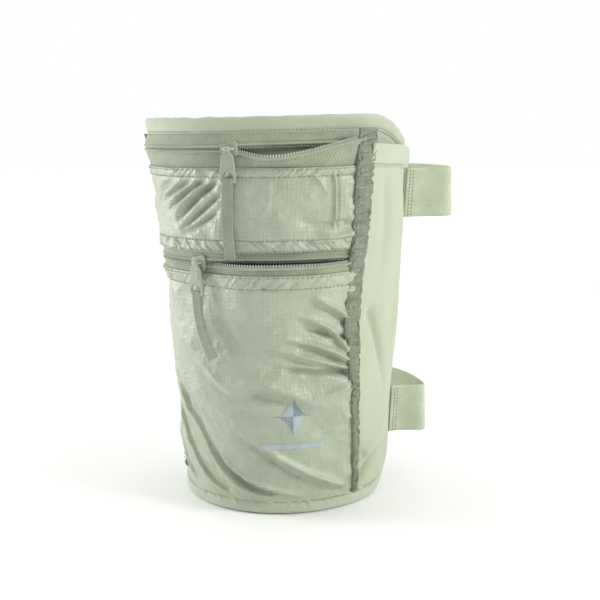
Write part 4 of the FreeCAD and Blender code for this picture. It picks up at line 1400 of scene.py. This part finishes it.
def camera():
    azimuth, elevation = math.radians(CAMERA_AZIMUTH), math.radians(CAMERA_ELEVATION)
    target = Vector(CAMERA_TARGET)
    level = math.cos(elevation)
    toward = Vector((math.sin(azimuth) * level, -math.cos(azimuth) * level, math.sin(elevation)))
    data = bpy.data.cameras.new("camera")
    data.sensor_width = CAMERA_SENSOR
    data.lens = CAMERA_LENS
    data.clip_start = 0.01
    eye = bpy.data.objects.new("camera", data)
    eye.location = target + toward * CAMERA_DISTANCE
    eye.rotation_mode = "QUATERNION"
    roll = Quaternion((0, 0, 1), math.radians(CAMERA_ROLL))
    eye.rotation_quaternion = toward.to_track_quat("Z", "Y") @ roll
    bpy.context.scene.collection.objects.link(eye)
    bpy.context.scene.camera = eye


def lamp(name, place, size, watts, aim=(0, 0, 0.1)):
    data = bpy.data.lights.new(name, "AREA")
    data.size = size
    data.energy = watts
    light = bpy.data.objects.new(name, data)
    light.location = place
    light.rotation_mode = "QUATERNION"
    light.rotation_quaternion = (Vector(place) - Vector(aim)).to_track_quat("Z", "Y")
    bpy.context.scene.collection.objects.link(light)


# the sky is dim straight behind the photo's camera and full everywhere past its sides
SKY = {"From Min": -1.0, "From Max": -0.15, "To Min": 0.18, "To Max": 1.0}
# name, place, size and watts, and for the backdrop's lamp where it aims
LAMPS = (
    ("left", (-1.0, -0.15, 0.35), 0.35, 6.0),
    ("right", (0.95, -0.25, 0.55), 0.35, 5.5),
    ("backdrop", (0.0, 2.2, 1.8), 2.0, 45.0, (0, 4.0, 0)),
)


def studio():
    side, below = 3000, -0.3
    corners = [(-side, -side, below), (side, -side, below), (side, side, below), (-side, side, below)]
    floor = make_mesh("floor", corners, [(0, 1, 2, 3)])
    floor.data.materials.append(floor_paper("studio_paper"))
    world = bpy.data.worlds.new("studio")
    world.use_nodes = True
    nodes, links = world.node_tree.nodes, world.node_tree.links
    nodes["Background"].inputs["Color"].default_value = (1.0, 1.0, 1.0, 1.0)
    direction = nodes.new("ShaderNodeTexCoord")
    split = nodes.new("ShaderNodeSeparateXYZ")
    links.new(direction.outputs["Generated"], split.inputs[0])
    brightness = nodes.new("ShaderNodeMapRange")
    brightness.interpolation_type = "SMOOTHSTEP"
    for name, value in SKY.items():
        brightness.inputs[name].default_value = value
    links.new(split.outputs["Y"], brightness.inputs["Value"])
    links.new(brightness.outputs["Result"], nodes["Background"].inputs["Strength"])
    bpy.context.scene.world = world
    bpy.context.scene.view_settings.view_transform = "Standard"
    for each in LAMPS:
        lamp(*each)


camera()
studio()
back_panel()
top_hem()
bottom_hem()
side_gusset()
gusset_hem()
right_binding()
left_binding()
zips()
upper_pocket()
lower_pocket()
pocket_divider()
print_mark()
all_hardware()
straps()
